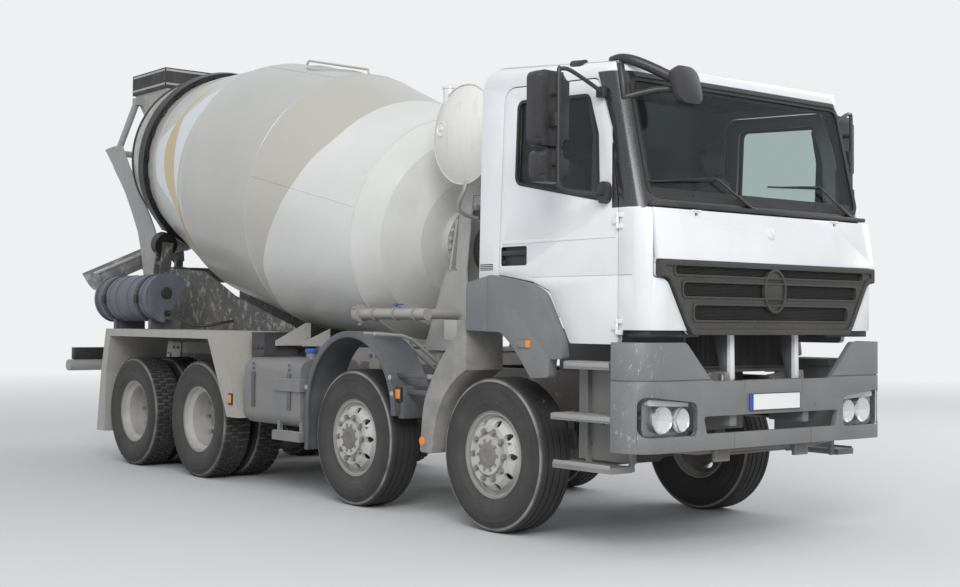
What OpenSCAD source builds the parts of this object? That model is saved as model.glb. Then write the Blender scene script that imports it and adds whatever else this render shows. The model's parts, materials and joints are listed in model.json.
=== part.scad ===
// Four-axle concrete mixer truck: cab-over tractor, twin steered front axles,
// driven rear bogie and an inclined mixing drum. Sizes are millimetres.
// X points forward, Y to the left, Z up. Lengths along the truck are given from the
// first axle, and front_axle_x moves them so that the origin is below the middle.

/* [Axles and wheels] */
// X of the first axle in the truck's own frame
front_axle_x = 3070; // [3040:10:3100]
// From the first steered axle to the second
steer_axle_gap = 1700; // [1690:5:1720]
// From the second steered axle to the first driven axle
wheelbase_gap = 2472; // [2460:2:2490]
// From the first driven axle to the second
bogie_gap = 1350; // [1340:5:1360]
// Outer radius of the tyres, also the height of the wheel centres
tyre_r = 532; // [526:1:538]
// Width of one tyre
tyre_w = 300; // [290:2:310]
// Radius of the rim where the tyre sits
rim_r = 290; // [280:1:300]
// Y of the middle of a steered wheel
front_track_y = 1030; // [1010:5:1040]
// Y of the middle between the two tyres of a twin wheel
twin_track_y = 905; // [895:5:910]
// From tyre middle to tyre middle in a twin wheel
twin_gap = 352; // [346:2:360]
// Y of the king pins
king_pin_y = 850; // [840:2:860]

/* [Frame] */
// Outer face of the frame rails
rail_y = 400; // [390:5:410]
// Height of the frame rails
rail_h = 290; // [270:5:300]
// Top of the frame rails
rail_top_z = 1090; // [1085:1:1095]
// Sheet thickness of the frame rails
rail_t = 9; // [8:1:12]
// Flange width of the frame rails
rail_flange = 80; // [70:5:90]
// Height of the mixer's subframe on the rails
subframe_h = 120; // [110:5:125]

/* [Cab] */
// Half width of the cab
cab_y = 1150; // [1140:5:1150]
// Thickness of the cab's walls and doors
cab_wall = 45; // [40:1:50]
// Gap round the doors
door_gap = 8; // [6:1:10]
// Thickness of the glass
glass_t = 6; // [5:1:8]
// Outer face of the wheel arch cladding
arch_y = 1220; // [1215:1:1225]

/* [Bumper and steps] */
// Half width of the bumper
bumper_y = 1250; // [1245:1:1255]
// Front face of the bumper, from the first axle
bumper_x = 1500; // [1495:1:1510]
// Lower edge of the bumper
bumper_low_z = 650; // [640:5:670]
// Height of the bumper's middle part above the ground
bumper_mid_z = 1080; // [1070:5:1090]
// Height of the bumper's ears above the ground
bumper_ear_z = 1325; // [1310:5:1328]
// Wall of the bumper
bumper_wall = 40; // [30:2:45]

/* [Drum] */
// Tilt of the drum's axis
drum_tilt = 13; // [12.8:0.1:13.2]
// Height of the drum's axis at its middle
drum_z = 2670; // [2660:5:2690]
// Radius of the drum's belt
drum_r = 1195; // [1190:1:1200]
// Radius of the drum's mouth
mouth_r = 840; // [830:2:850]
// Wall of the drum
drum_wall = 10; // [8:1:12]
// Outer radius of the track ring
ring_r = 960; // [955:1:965]
// Width of the track ring
ring_w = 120; // [110:2:130]
// Radius of the two rollers under the track ring
roller_r = 125; // [120:1:130]
// Radius of the drum's drive flange
flange_r = 300; // [290:2:310]

/* [Chute] */
// Length of the chute
chute_len = 1180; // [1100:10:1200]
// Radius of the half-round chute
chute_r = 190; // [180:2:200]
// Slope of the chute at rest
chute_slope = 24; // [22:1:26]
// Wall of the chute
chute_wall = 6; // [5:1:8]

/* [Tanks] */
// Radius of the water tank
water_r = 385; // [380:1:390]
// Length of the water tank across the truck
water_len = 1500; // [1460:10:1540]
// Length of the fuel tank
fuel_len = 915; // [900:5:920]

/* [Hidden] */
$fn = 48;

right = -1;
left = 1;
seat_gap = 0.3;
running_gap = 0.08;
over = 20;

// Axle stations along the truck, each from the first axle
axle_2_x = -steer_axle_gap;
axle_3_x = axle_2_x - wheelbase_gap;
axle_4_x = axle_3_x - bogie_gap;
steer_axles = [0, axle_2_x];
drive_axles = [axle_3_x, axle_4_x];

// Everything below the named node modules is placed from the first axle
module from_axle() {
    translate([front_axle_x, 0, 0]) children();
}

// A box given by two corners
module block(low, high) {
    translate(low) cube(high - low);
}

// A side outline in X and Z, as a plate from y to y + t
module side_plate(y, t) {
    translate([0, y + t, 0]) rotate([90, 0, 0]) linear_extrude(t) children();
}

// A front outline in Y and Z, as a plate from x to x + t
module front_plate(x, t) {
    translate([x, 0, 0]) rotate([90, 0, 90]) linear_extrude(t) children();
}

module both_sides() {
    children();
    mirror([0, 1, 0]) children();
}

// A round bar along Y from y1 to y2
module bar_y(x, z, r, y1, y2) {
    translate([x, y2, z]) rotate([90, 0, 0]) cylinder(r = r, h = y2 - y1);
}

// A round bar along X from x1 to x2
module bar_x(y, z, r, x1, x2) {
    translate([x1, y, z]) rotate([0, 90, 0]) cylinder(r = r, h = x2 - x1);
}

// A rectangle with round corners, low corner and high corner
module round_rect(low, high, r) {
    translate([low[0] + r, low[1]]) square([high[0] - low[0] - 2 * r, high[1] - low[1]]);
    translate([low[0], low[1] + r]) square([high[0] - low[0], high[1] - low[1] - 2 * r]);
    for (x = [low[0] + r, high[0] - r], z = [low[1] + r, high[1] - r])
        translate([x, z]) circle(r);
}

// Frame rails with their cross members and the pivots of the cab

rail_low_z = rail_top_z - rail_h;
rail_front_x = 1180;
rail_rear_x = -6600;
// Cross members: x, radius
cross_members = [[1080, 50], [-1330, 45], [-2450, 50], [-3350, 50], [-4847, 70], [-6480, 55]];
cab_pivot_x = 1390;
cab_pivot_z = 1095;
cab_pivot_y = 330;
cab_pin_r = 25;

module frame_rails() color([0.32, 0.31, 0.30]) from_axle() {
    difference() {
        union() {
            both_sides() difference() {
                block([rail_rear_x, rail_y - rail_flange, rail_low_z],
                      [rail_front_x, rail_y, rail_top_z]);
                block([rail_rear_x - over, rail_y - rail_flange - over, rail_low_z + rail_t],
                      [rail_front_x + over, rail_y - rail_t, rail_top_z - rail_t]);
            }
            for (m = cross_members)
                bar_y(m[0], rail_low_z + rail_h / 2, m[1], rail_t - rail_y, rail_y - rail_t);
            both_sides() {
                block([rail_front_x - 260, rail_y - rail_t, rail_low_z],
                      [rail_front_x, rail_y, rail_low_z + 20]);
                side_plate(cab_pivot_y + 22, rail_y - cab_pivot_y - 22) {
                    polygon([[rail_front_x - 160, rail_low_z + 20],
                             [cab_pivot_x, rail_low_z + 60],
                             [cab_pivot_x + 40, cab_pivot_z - 30],
                             [cab_pivot_x + 30, cab_pivot_z + 40],
                             [cab_pivot_x - 40, cab_pivot_z + 40],
                             [rail_front_x - 160, rail_top_z - 20]]);
                }
            }
            bar_y(cab_pivot_x - 70, rail_low_z + 150, 40, -cab_pivot_y - 30, cab_pivot_y + 30);
        }
        both_sides()
            bar_y(cab_pivot_x, cab_pivot_z, cab_pin_r + running_gap,
                  cab_pivot_y - over, rail_y + over);
    }
}

// Subframe of the mixer, with the brackets that tie it to the rails

subframe_top_z = rail_top_z + subframe_h;
subframe_x = [-6620, -1120];
// Tie brackets: x of the middle, length
ties = [[-1500, 260], [-2500, 180], [-3150, 220], [-4847, 240], [-6200, 240]];

module subframe() color([0.55, 0.54, 0.52]) from_axle() {
    both_sides() {
        block([subframe_x[0], rail_y - rail_flange, rail_top_z],
              [subframe_x[1], rail_y, subframe_top_z]);
        for (t = ties)
            side_plate(rail_y, 12) polygon([
                [t[0] - t[1] / 2, subframe_top_z - 10], [t[0] + t[1] / 2, subframe_top_z - 10],
                [t[0] + t[1] / 3, rail_top_z - 150], [t[0] - t[1] / 3, rail_top_z - 150]]);
    }
    for (x = [subframe_x[0] + 60, -5400, -4200, -3000, -1900, subframe_x[1] - 60])
        block([x - 40, rail_flange - rail_y, rail_top_z + 10],
              [x + 40, rail_y - rail_flange, subframe_top_z - 10]);
}

// Engine and gearbox as plain blocks, the radiator ahead of them and the shafts behind

shaft_r = 55;
nose_len = 250;
engine_x = [-260, 980];

module driveline() color([0.28, 0.28, 0.28]) from_axle() {
    difference() {
        union() {
            block([engine_x[0], -300, 720], [engine_x[1], 300, 1400]);
            block([engine_x[1], -60, 820], [1110, 60, 1300]);
        }
        bar_y(1080, rail_low_z + rail_h / 2, 50 + seat_gap, -310, 310);
    }
    block([1110, -520, 1120], [1180, 520, 1440]);
    block([-1250, -190, 760], [engine_x[0], 190, 1030]);
    for (s = [[-1250, axle_3_x + nose_len + 3, 820, 700],
              [axle_3_x - nose_len - seat_gap, axle_4_x + nose_len + seat_gap, 700, 700]]) {
        shaft_len = norm([s[0] - s[1], s[2] - s[3]]);
        translate([s[1], 0, s[3]]) rotate([0, 90 - atan2(s[2] - s[3], s[0] - s[1]), 0])
            cylinder(r = shaft_r, h = shaft_len);
    }
}

// Axle beams on their leaf springs

pin_len = 190;
pin_r = 24;
spring_y = rail_y - 20;
spring_w = 80;
eye_gap = 8;
beam_eye_z = [470, 590];
stub_r = 45;
stub_rear_y = 860;

module leaf_pack(x, z, half_len, leaves) {
    for (i = [0:leaves - 1])
        block([x - half_len * (1 - 0.12 * i), spring_y - spring_w / 2, z + 16 * (leaves - i)],
              [x + half_len * (1 - 0.12 * i), spring_y + spring_w / 2,
               z + 16 * (leaves - i + 1)]);
}

module axle_beams() color([0.20, 0.20, 0.20]) from_axle() {
    for (x = steer_axles) {
        front_plate(x - 45, 90) difference() {
            polygon([[-king_pin_y, beam_eye_z[0]], [-king_pin_y + 100, beam_eye_z[0]],
                     [-king_pin_y + 150, 445], [-500, 430], [-440, 400], [440, 400], [500, 430],
                     [king_pin_y - 150, 445], [king_pin_y - 100, beam_eye_z[0]],
                     [king_pin_y, beam_eye_z[0]], [king_pin_y, beam_eye_z[1]],
                     [king_pin_y - 60, beam_eye_z[1]], [500, 540], [-500, 540],
                     [-king_pin_y + 60, beam_eye_z[1]], [-king_pin_y, beam_eye_z[1]]]);
        }
        both_sides() {
            translate([x, king_pin_y, tyre_r - pin_len / 2]) cylinder(r = pin_r, h = pin_len);
            translate([x, king_pin_y, beam_eye_z[0]])
                cylinder(r = 45, h = beam_eye_z[1] - beam_eye_z[0]);
            block([x - 90, spring_y - spring_w / 2 - 10, 540],
                  [x + 90, spring_y + spring_w / 2 + 10, 576]);
            leaf_pack(x, 560, 680, 3);
            for (e = [-650, 650])
                block([x + e - 40, spring_y - spring_w / 2, 610],
                      [x + e + 40, rail_y + 15, rail_low_z]);
        }
    }
    for (x = drive_axles) {
        bar_y(x, tyre_r, 75, -560, 560);
        bar_y(x, tyre_r, stub_r, -stub_rear_y, stub_rear_y);
        translate([x, 0, tyre_r]) rotate([0, 90, 0]) cylinder(r = 215, h = 180, center = true);
        bar_x(0, 700, 60, x - nose_len, x + nose_len);
        block([x - 120, -110, tyre_r], [x + 120, 110, 740]);
        both_sides() block([x - 58, spring_y - 50, tyre_r + 60], [x + 58, spring_y + 50, 672]);
    }
    both_sides() {
        leaf_pack((axle_3_x + axle_4_x) / 2, 624, 780, 4);
        block([(axle_3_x + axle_4_x) / 2 - 150, spring_y - 45, 700],
              [(axle_3_x + axle_4_x) / 2 + 150, rail_y + 15, rail_low_z]);
    }
}

// Steering knuckles: a fork on the king pin, the stub axle and the brake drum

stub_end_y = front_track_y + 70;

module knuckle(x) {
    difference() {
        union() {
            block([x - 60, king_pin_y - 45, tyre_r + 60 + eye_gap],
                  [x + 60, king_pin_y + 75, tyre_r + 60 + eye_gap + 50]);
            block([x - 60, king_pin_y - 45, tyre_r - 62 - eye_gap - 40],
                  [x + 60, king_pin_y + 75, tyre_r - 62 - eye_gap]);
            block([x - 60, king_pin_y + 58, tyre_r - 62 - eye_gap - 40],
                  [x + 60, king_pin_y + 80, tyre_r + 60 + eye_gap + 50]);
            bar_y(x, tyre_r, stub_r, king_pin_y + 60, stub_end_y);
            difference() {
                bar_y(x, tyre_r, 205, king_pin_y + 62, king_pin_y + 78);
            }
        }
        translate([x, king_pin_y, tyre_r - pin_len]) cylinder(r = pin_r + running_gap, h = 2 * pin_len);
    }
}

// Wheels: tyre outline as r and y from the tyre's middle, one side mirrored

bead = 18;

module tyre(x, y) {
    half = tyre_w / 2;
    translate([x, y, tyre_r]) rotate([90, 0, 0]) rotate_extrude($fn = 96) polygon([
        [rim_r, -half + 40], [rim_r + 30, -half + 28], [rim_r + 110, -half],
        [tyre_r - 45, -half + 12], [tyre_r - 12, -half + 22], [tyre_r, -half + 45],
        [tyre_r, half - 45], [tyre_r - 12, half - 22], [tyre_r - 45, half - 12],
        [rim_r + 110, half], [rim_r + 30, half - 28], [rim_r, half - 40],
        [rim_r, half - 40 - bead], [rim_r + 20, half - 70], [tyre_r - 40, half - 60],
        [tyre_r - 40, -half + 60], [rim_r + 20, -half + 70], [rim_r, -half + 40 + bead]]);
}

// A well base rim with its disc, out is +1 where the disc bulges outwards along +Y
module rim(x, y, out, disc) {
    half = tyre_w / 2 - 40;
    translate([x, y, tyre_r]) rotate([-90, 0, 0]) mirror([0, 0, out > 0 ? 0 : 1]) difference() {
        rotate_extrude($fn = 96) polygon([
            [rim_r, -half], [rim_r, half], [rim_r - 8, half], [rim_r - 12, half - 30],
            [rim_r - 30, half - 45], [240, disc - 30], [205, disc], [160, disc], [150, disc - 14],
            [80, disc - 14], [80, disc - 26], [200, disc - 26], [228, disc - 48],
            [rim_r - 44, half - 60], [rim_r - 44, -half + 60], [rim_r - 14, -half + 30],
            [rim_r - 8, -half]]);
        for (i = [0:9])
            rotate([0, 0, i * 36]) translate([222, 0, disc - 90]) cylinder(r = 24, h = 110);
    }
}

// Hub that turns on the stub axle
module hub(x, y1, y2, r) {
    difference() {
        bar_y(x, tyre_r, r, y1, y2);
        bar_y(x, tyre_r, stub_r + running_gap, y1 - over, min(y2 - 30, stub_end_y + 5));
    }
}

module steer_rim(x) {
    rim(x, front_track_y, 1, 150);
    hub(x, king_pin_y + 95, front_track_y + 165, 135);
}

twin_disc = twin_gap / 2;

module twin_rims(x) {
    rim(x, twin_track_y - twin_disc, 1, twin_disc);
    rim(x, twin_track_y + twin_disc, -1, twin_disc);
    hub(x, 650, twin_track_y + 105, 120);
    difference() {
        bar_y(x, tyre_r, 205, 660, 800);
        bar_y(x, tyre_r, 110, 640, 810);
    }
}

module twin_tyres(x) {
    tyre(x, twin_track_y - twin_disc);
    tyre(x, twin_track_y + twin_disc);
}

// One side of the truck is the mirror of the other: side is right or left
module on_side(side) {
    from_axle() mirror([0, side == right ? 1 : 0, 0]) children();
}

module knuckle_on(x, side) color([0.18, 0.18, 0.18]) on_side(side) knuckle(x);
module rim_on(x, side) color([0.72, 0.72, 0.72]) on_side(side) steer_rim(x);
module tyre_on(x, side) color([0.08, 0.08, 0.08]) on_side(side) tyre(x, front_track_y);
module rims_on(x, side) color([0.72, 0.70, 0.66]) on_side(side) twin_rims(x);
module tyres_on(x, side) color([0.08, 0.08, 0.08]) on_side(side) twin_tyres(x);

// Bumper: a shell with raised ears at both sides

bumper_corner = 170;
bumper_back_x = 1250;
lamp_y = [780, 1200];
lamp_z = [720, 995];

module bumper_plan(inset) {
    y = bumper_y - inset;
    intersection() {
        round_rect([0, -y], [bumper_x - inset, y], bumper_corner - inset);
        translate([bumper_back_x, -y]) square([bumper_x, 2 * y]);
    }
}

module bumper_shell(inset, thick) {
    difference() {
        translate([0, 0, bumper_low_z]) linear_extrude(bumper_ear_z - bumper_low_z)
            bumper_plan(inset);
        translate([-over, 0, bumper_low_z - over])
            linear_extrude(bumper_ear_z - bumper_low_z + 2 * over) bumper_plan(inset + thick);
    }
}

module bumper() color([0.45, 0.46, 0.47]) from_axle() {
    difference() {
        bumper_shell(0, bumper_wall);
        // The middle is lower than the ears
        front_plate(bumper_back_x - over, 300) polygon([
            [-900, bumper_ear_z + over], [-900, bumper_ear_z], [-650, bumper_mid_z],
            [650, bumper_mid_z], [900, bumper_ear_z], [900, bumper_ear_z + over]]);
        // Pockets of the headlamps
        both_sides() front_plate(bumper_back_x + 60, 300)
            round_rect([lamp_y[0], lamp_z[0]], [lamp_y[1], lamp_z[1]], 30);
        // Slot above the lower lip
        front_plate(bumper_back_x + 60, 300) round_rect([-660, 755], [660, 860], 30);
    }
    both_sides() block([rail_front_x, rail_y - rail_flange, rail_low_z + 10],
                       [bumper_x - 10, cab_pivot_y + 22 - seat_gap, rail_low_z + 90]);
    // Plate for the number plate
    block([bumper_x - 2, -265, 880], [bumper_x + 6, 265, 1000]);
    // Towing brackets under the middle
    both_sides() difference() {
        block([bumper_x - 120, 330, bumper_low_z - 90], [bumper_x - 90, 470, bumper_low_z + 60]);
        for (y = [365, 435])
            bar_x(y, bumper_low_z - 45, 20, bumper_x - 140, bumper_x - 70);
    }
    block([bumper_x - 125, -470, bumper_low_z + 20], [bumper_x - 30, 470, bumper_low_z + 60]);
}

// Headlamps in the bumper and the lamp boxes on the rear bar

underrun_x = -7150;
underrun_z = 940;
underrun_r = 60;

module lamps() color([0.85, 0.85, 0.82]) from_axle() {
    both_sides() intersection() {
        bumper_shell(8, bumper_wall - 8);
        front_plate(bumper_back_x + 60, 300)
            round_rect([lamp_y[0] + 0.3, lamp_z[0] + 0.3], [lamp_y[1] - 0.3, lamp_z[1] - 0.3], 30);
    }
    both_sides() block([underrun_x - 70, 720, underrun_z + underrun_r + seat_gap],
                       [underrun_x + 20, 1150, underrun_z + underrun_r + 130]);
}

module rear_underrun() color([0.60, 0.60, 0.59]) from_axle() {
    difference() {
        bar_y(underrun_x, underrun_z, underrun_r, -1200, 1200);
        bar_y(underrun_x, underrun_z, underrun_r - 6, -1200 - over, 1200 + over);
    }
    both_sides() side_plate(rail_y, 14) polygon([
        [rail_rear_x + 260, rail_low_z + 20], [rail_rear_x + 260, rail_top_z - 20],
        [rail_rear_x, rail_top_z - 20], [underrun_x + 20, underrun_z + 40],
        [underrun_x + 20, underrun_z - 40], [rail_rear_x, rail_low_z + 20]]);
}

// Entry steps on both sides, hung from the frame

module steps() color([0.42, 0.42, 0.42]) from_axle() {
    both_sides() {
        block([790, 960, 1150], [1206, 1220, 1196]);
        block([670, 1000, 820], [1223, 1220, 860]);
        block([690, 1040, 510], [1232, 1220, 550]);
        for (x = [800, 1190])
            block([x, 990, 510], [x + 16, 1030, 1196]);
        for (x = [800, 1190])
            block([x, 1030, 510], [x + 16, 1060, 550]);
        block([700, 985, 560], [1215, 995, 1150]);
        for (z = [850, 1100])
            bar_y(1090, z == 850 ? 850 : 1020, 22, rail_y, 990);
    }
}

// Plastic fenders: the rear half arch of the first wheel and the arch of the second

fender_in_y = 860;
fender_out_y = 1200;
arch_r = 622;
second_arch_z = 735;

module arch_section(cx, cz, r, t) {
    difference() {
        translate([cx, cz]) circle(r + t, $fn = 96);
        translate([cx, cz]) circle(r, $fn = 96);
    }
}

module plastic_fenders() color([0.36, 0.37, 0.39]) from_axle() {
    both_sides() {
        // Behind the first wheel
        side_plate(fender_in_y, fender_out_y - fender_in_y) difference() {
            polygon([[-243, 1469], [-560, 1150], [-740, 873], [-775, 494], [-640, 494],
                     [-560, 700], [-400, 1000], [-243, 1090]]);
            translate([0, tyre_r]) circle(arch_r, $fn = 96);
            polygon([[-300, 1340], [-560, 1070], [-690, 850], [-720, 560], [-655, 560],
                     [-620, 760], [-450, 1050], [-300, 1150]]);
        }
        bar_y(-629, 1000, 22, rail_y, fender_in_y + 20);
        // Over the second wheel
        side_plate(fender_in_y, fender_out_y - fender_in_y) {
            intersection() {
                arch_section(axle_2_x - 20, second_arch_z, arch_r - 20, 26);
                translate([axle_2_x - 1000, second_arch_z]) square([2000, 1000]);
            }
            translate([axle_2_x - 20 - arch_r - 6, 393]) square([26, second_arch_z - 392]);
        }
        bar_y(axle_2_x - 20 - arch_r + 7, 900, 22, rail_y, fender_in_y + 20);
        bar_y(axle_2_x - 20 + arch_r - 30, 900, 22, rail_y, fender_in_y + 20);
    }
}

// Long steel mudguards over the bogie

module rear_fenders() color([0.58, 0.57, 0.54]) from_axle() {
    both_sides() {
        side_plate(600, 650) difference() {
            polygon([[-6290, 300], [-6200, 900], [-6095, 1340], [-3768, 1340], [-3355, 590],
                     [-3555, 590], [-3920, 1270], [-5990, 1270], [-6085, 900], [-6095, 300]]);
            polygon([[-6270, 290], [-6185, 900], [-6080, 1325], [-3777, 1325], [-3375, 580],
                     [-3535, 580], [-3910, 1285], [-6000, 1285], [-6100, 900], [-6110, 290]]);
        }
        side_plate(1238, 12)
            polygon([[-6290, 300], [-6200, 900], [-6095, 1340], [-3768, 1340], [-3355, 590],
                     [-3555, 590], [-3920, 1270], [-5990, 1270], [-6085, 900], [-6095, 300]]);
        bar_y(-6145, 1000, 28, rail_y + 14, 640);
        bar_y(-3600, 1000, 28, rail_y, 640);
    }
}

// Tanks and boxes along the frame

fuel_front_x = -2420;
fuel_z = [557, 1120];
fuel_y = [610, 1200];

module fuel_tank() color([0.33, 0.34, 0.36]) from_axle() {
    mirror([0, 1, 0]) {
        front_plate(fuel_front_x - fuel_len, fuel_len)
            round_rect([fuel_y[0], fuel_z[0]], [fuel_y[1], fuel_z[1]], 110);
        for (x = [fuel_front_x - fuel_len + 130, fuel_front_x - 200]) {
            block([x, rail_y, 850], [x + 60, fuel_y[0] + 10, 930]);
        }
        // Filler neck and the two foot bars
        translate([fuel_front_x - 150, 1000, fuel_z[1] - 10]) cylinder(r = 45, h = 60);
        for (z = [[856, 956], [445, 520]]) {
            block([-2830, fuel_y[1] - 60, z[0]], [-2400, fuel_y[1] + 20, z[1]]);
        }
        for (x = [-2810, -2460])
            block([x, fuel_y[1] - 50, 445], [x + 40, fuel_y[1] - 20, 700]);
    }
}

module chassis_boxes() color([0.25, 0.26, 0.28]) from_axle() {
    // Silencer box on the left
    front_plate(-3350, 900) round_rect([560, 520], [1190, 1130], 60);
    for (x = [-3250, -2650])
        block([x, rail_y, 850], [x + 60, 570, 930]);
    // Valve box behind the fuel tank on the right
    block([-3600, -980, 1125], [-3380, -640, 1330]);
    block([-3520, -650, 1140], [-3460, -rail_y, 1190]);
}

// Water tank across the truck and the supply pipe on the right

water_x = -980;
water_z = 2880;
dish_r = 700;
inlet_r = 38;
inlet_len = 100;
inlet_x = -2190;
inlet_y = -780;
inlet_z = 1500;

module water_supply() color([0.88, 0.88, 0.87]) from_axle() {
    intersection() {
        bar_y(water_x, water_z, water_r, -water_len / 2, water_len / 2);
        // Dished ends
        both_inside(water_len / 2 - dish_r);
    }
    both_sides() bar_y(water_x - 40, water_z + 40, 30, water_len / 2 - 30, water_len / 2);
    // Pipe with its coupling
    difference() {
        union() {
            bar_x(inlet_y, inlet_z, 45, inlet_x + 40, -1250);
            bar_x(inlet_y, inlet_z, 75, inlet_x, inlet_x + 50);
            bar_y(-1295, inlet_z, 40, inlet_y, -pedestal_y - seat_gap);
        }
        bar_x(inlet_y, inlet_z, inlet_r, inlet_x - over, inlet_x + inlet_len);
    }
}

module both_inside(y) {
    union() {
        translate([water_x, y, water_z]) sphere(r = dish_r, $fn = 96);
        translate([water_x, -y, water_z]) sphere(r = dish_r, $fn = 96);
        bar_y(water_x, water_z, dish_r, -y, y);
    }
}

// Side tank of plastic, flat towards the drum, strapped to its cradle on the mudguard

module side_tank() color([0.30, 0.31, 0.35]) from_axle() {
    difference() {
        union() {
            bar_x(-1000, 1650, 235, -6400, -5200);
            for (x = [-6395, -5235])
                bar_x(-1000, 1650, 243, x, x + 30);
        }
        rotate_flat();
    }
    for (x = [-6200, -5400])
        block([x, -1120, 1340], [x + 60, -800, 1440]);
}

module rotate_flat() {
    translate([-6450, -1000, 1650]) rotate([-32, 0, 0]) block([0, 75, -400], [1300, 400, 400]);
}

// Drum frame: Z runs back along the axis, X points up from it, at the drum's middle

drum_mid_x = -4000;

module drum_frame() {
    from_axle() translate([drum_mid_x, 0, drum_z]) rotate([0, drum_tilt - 90, 0]) children();
}

flange_s = -2440;
gear_r = 250;
gear_end_s = -2950;
shaft_end_r = 100;
mouth_s = 2450;
ring_s = 1930;
// Outline of the shell: distance along the axis, radius
shell = [[-2380, flange_r], [-2350, 500], [-2200, 800], [-1990, 960], [-650, drum_r],
         [620, drum_r - 15], [ring_s, 905], [ring_s + 130, 885], [mouth_s, mouth_r]];
ring_seat_r = 885;

module drum_shell() color([0.70, 0.70, 0.67]) drum_frame() {
    difference() {
        union() {
            rotate_extrude($fn = 120) polygon(concat(
                [for (p = shell) [p[1], p[0]]],
                [for (i = [len(shell) - 1:-1:1]) [shell[i][1] - drum_wall, shell[i][0] + 1]],
                [[0, -2335], [0, -2380]]));
            translate([0, 0, flange_s]) cylinder(r = flange_r, h = 70);
        }
        translate([0, 0, flange_s - over]) cylinder(r = shaft_end_r + running_gap, h = 90);
    }
}

module track_ring() color([0.12, 0.12, 0.12]) drum_frame() {
    translate([0, 0, ring_s + 2]) difference() {
        cylinder(r = ring_r, h = ring_w, $fn = 120);
        translate([0, 0, -over]) cylinder(r = 905 + seat_gap, h = ring_w + 2 * over, $fn = 120);
    }
}

module drum_gearbox() color([0.30, 0.30, 0.30]) drum_frame() {
    translate([0, 0, gear_end_s]) cylinder(r = gear_r - 40, h = 200);
    translate([0, 0, gear_end_s + 190]) cylinder(r = gear_r, h = flange_s - gear_end_s - 190 - 12);
    translate([0, 0, flange_s - 30]) cylinder(r = shaft_end_r, h = 85);
}

// Front pedestal: two side plates, a plate that holds the gearbox, the tank's saddles

pedestal_y = 450;

module front_pedestal() color([0.62, 0.62, 0.60]) {
    from_axle() {
        block([-1720, -pedestal_y, subframe_top_z], [-1130, pedestal_y, subframe_top_z + 25]);
        both_sides() {
            side_plate(pedestal_y - 12, 12) polygon([
                [-1720, subframe_top_z + 20], [-1130, subframe_top_z + 20], [-1190, 1850],
                [-1110, 2450], [-1250, 2450], [-1310, 1850], [-1450, 1850]]);
            difference() {
                block([-1260, pedestal_y - 40, 2430], [-700, pedestal_y, 2600]);
                bar_y(water_x, water_z, water_r + seat_gap, 0, 600);
            }
        }
    }
    drum_frame() difference() {
        block([-560, -pedestal_y + 6, -2720], [200, pedestal_y - 6, -2695]);
        translate([0, 0, -2800]) cylinder(r = gear_r + seat_gap, h = 200);
    }
}

// Rear pedestal: side panels under the drum, the cross beam, brackets and pins of the rollers

roller_s = ring_s + 2 + ring_w / 2;
roller_w = 110;
roller_angle = 33;
roller_pin_r = 35;
roller_dist = ring_r + roller_r + 0.5;
panel_y = 552;
post_x = -6980;
post_r = 50;
sleeve_z = [1650, 2000];

module rear_pedestal() color([0.34, 0.34, 0.34]) {
    from_axle() {
        both_sides() side_plate(panel_y - 12, 12) polygon([
            [-6550, subframe_top_z], [-3350, subframe_top_z], [-3600, 1390], [-4700, 1680],
            [-5300, 1930], [-6400, 1990], [-6550, 1990]]);
        block([-6540, -panel_y + 6, subframe_top_z], [-3400, panel_y - 6, subframe_top_z + 12]);
        block([-6400, -panel_y + 6, 1850], [-6000, panel_y - 6, 1990]);
        // Beam that carries the sleeve of the chute's post
        difference() {
            union() {
                block([post_x, -60, 1700], [-6380, 60, 1940]);
                translate([post_x, 0, sleeve_z[0]])
                    cylinder(r = 85, h = sleeve_z[1] - sleeve_z[0]);
            }
            translate([post_x, 0, sleeve_z[0] - over])
                cylinder(r = post_r + running_gap, h = sleeve_z[1] - sleeve_z[0] + 2 * over);
        }
    }
    drum_frame() for (s = [-1, 1]) {
        cx = -roller_dist * cos(roller_angle);
        cy = s * roller_dist * sin(roller_angle);
        for (e = [-1, 1])
            translate([0, 0, roller_s + e * (roller_w / 2 + 14) - 8])
                block([cx - 330, cy - (s > 0 ? 70 : 50), 0], [cx + 30, cy + (s > 0 ? 50 : 70), 16]);
        translate([cx, cy, roller_s - roller_w / 2 - 16])
            cylinder(r = roller_pin_r, h = roller_w + 32);
    }
}

module roller(s) color([0.25, 0.25, 0.25]) drum_frame() {
    translate([-roller_dist * cos(roller_angle), s * roller_dist * sin(roller_angle),
               roller_s - roller_w / 2]) difference() {
        cylinder(r = roller_r, h = roller_w);
        translate([0, 0, -over]) cylinder(r = roller_pin_r + running_gap, h = roller_w + 2 * over);
    }
}

// Hopper, its rubber collar, and the arms that carry it with the discharge funnel

hopper_y = 420;

module hopper() color([0.66, 0.66, 0.64]) from_axle() {
    difference() {
        side_plate(-hopper_y, 2 * hopper_y) polygon([
            [-7250, 3950], [-6480, 3950], [-6420, 3800], [-6180, 3520], [-6180, 3300],
            [-6400, 3200], [-6750, 3420]]);
        side_plate(-hopper_y + 8, 2 * hopper_y - 16) polygon([
            [-7250, 3970], [-6488, 3970], [-6428, 3796], [-6180, 3508], [-6140, 3400],
            [-6180, 3312], [-6400, 3212], [-6746, 3432]]);
    }
}

module hopper_collar() color([0.10, 0.10, 0.10]) from_axle() {
    difference() {
        block([-7280, -hopper_y - 20, 3950], [-6470, hopper_y + 20, 4170]);
        block([-7265, -hopper_y - 5, 3940], [-6485, hopper_y + 5, 4180]);
    }
    difference() {
        block([-7266, -hopper_y - 6, 3950], [-6484, hopper_y + 6, 3962]);
        block([-7230, -hopper_y + 20, 3940], [-6500, hopper_y - 20, 3970]);
    }
}

// A round bar from p to q
module rod(p, q, r) {
    d = q - p;
    translate(p) rotate([0, acos(d[2] / norm(d)), atan2(d[1], d[0])]) cylinder(r = r, h = norm(d));
}

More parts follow.
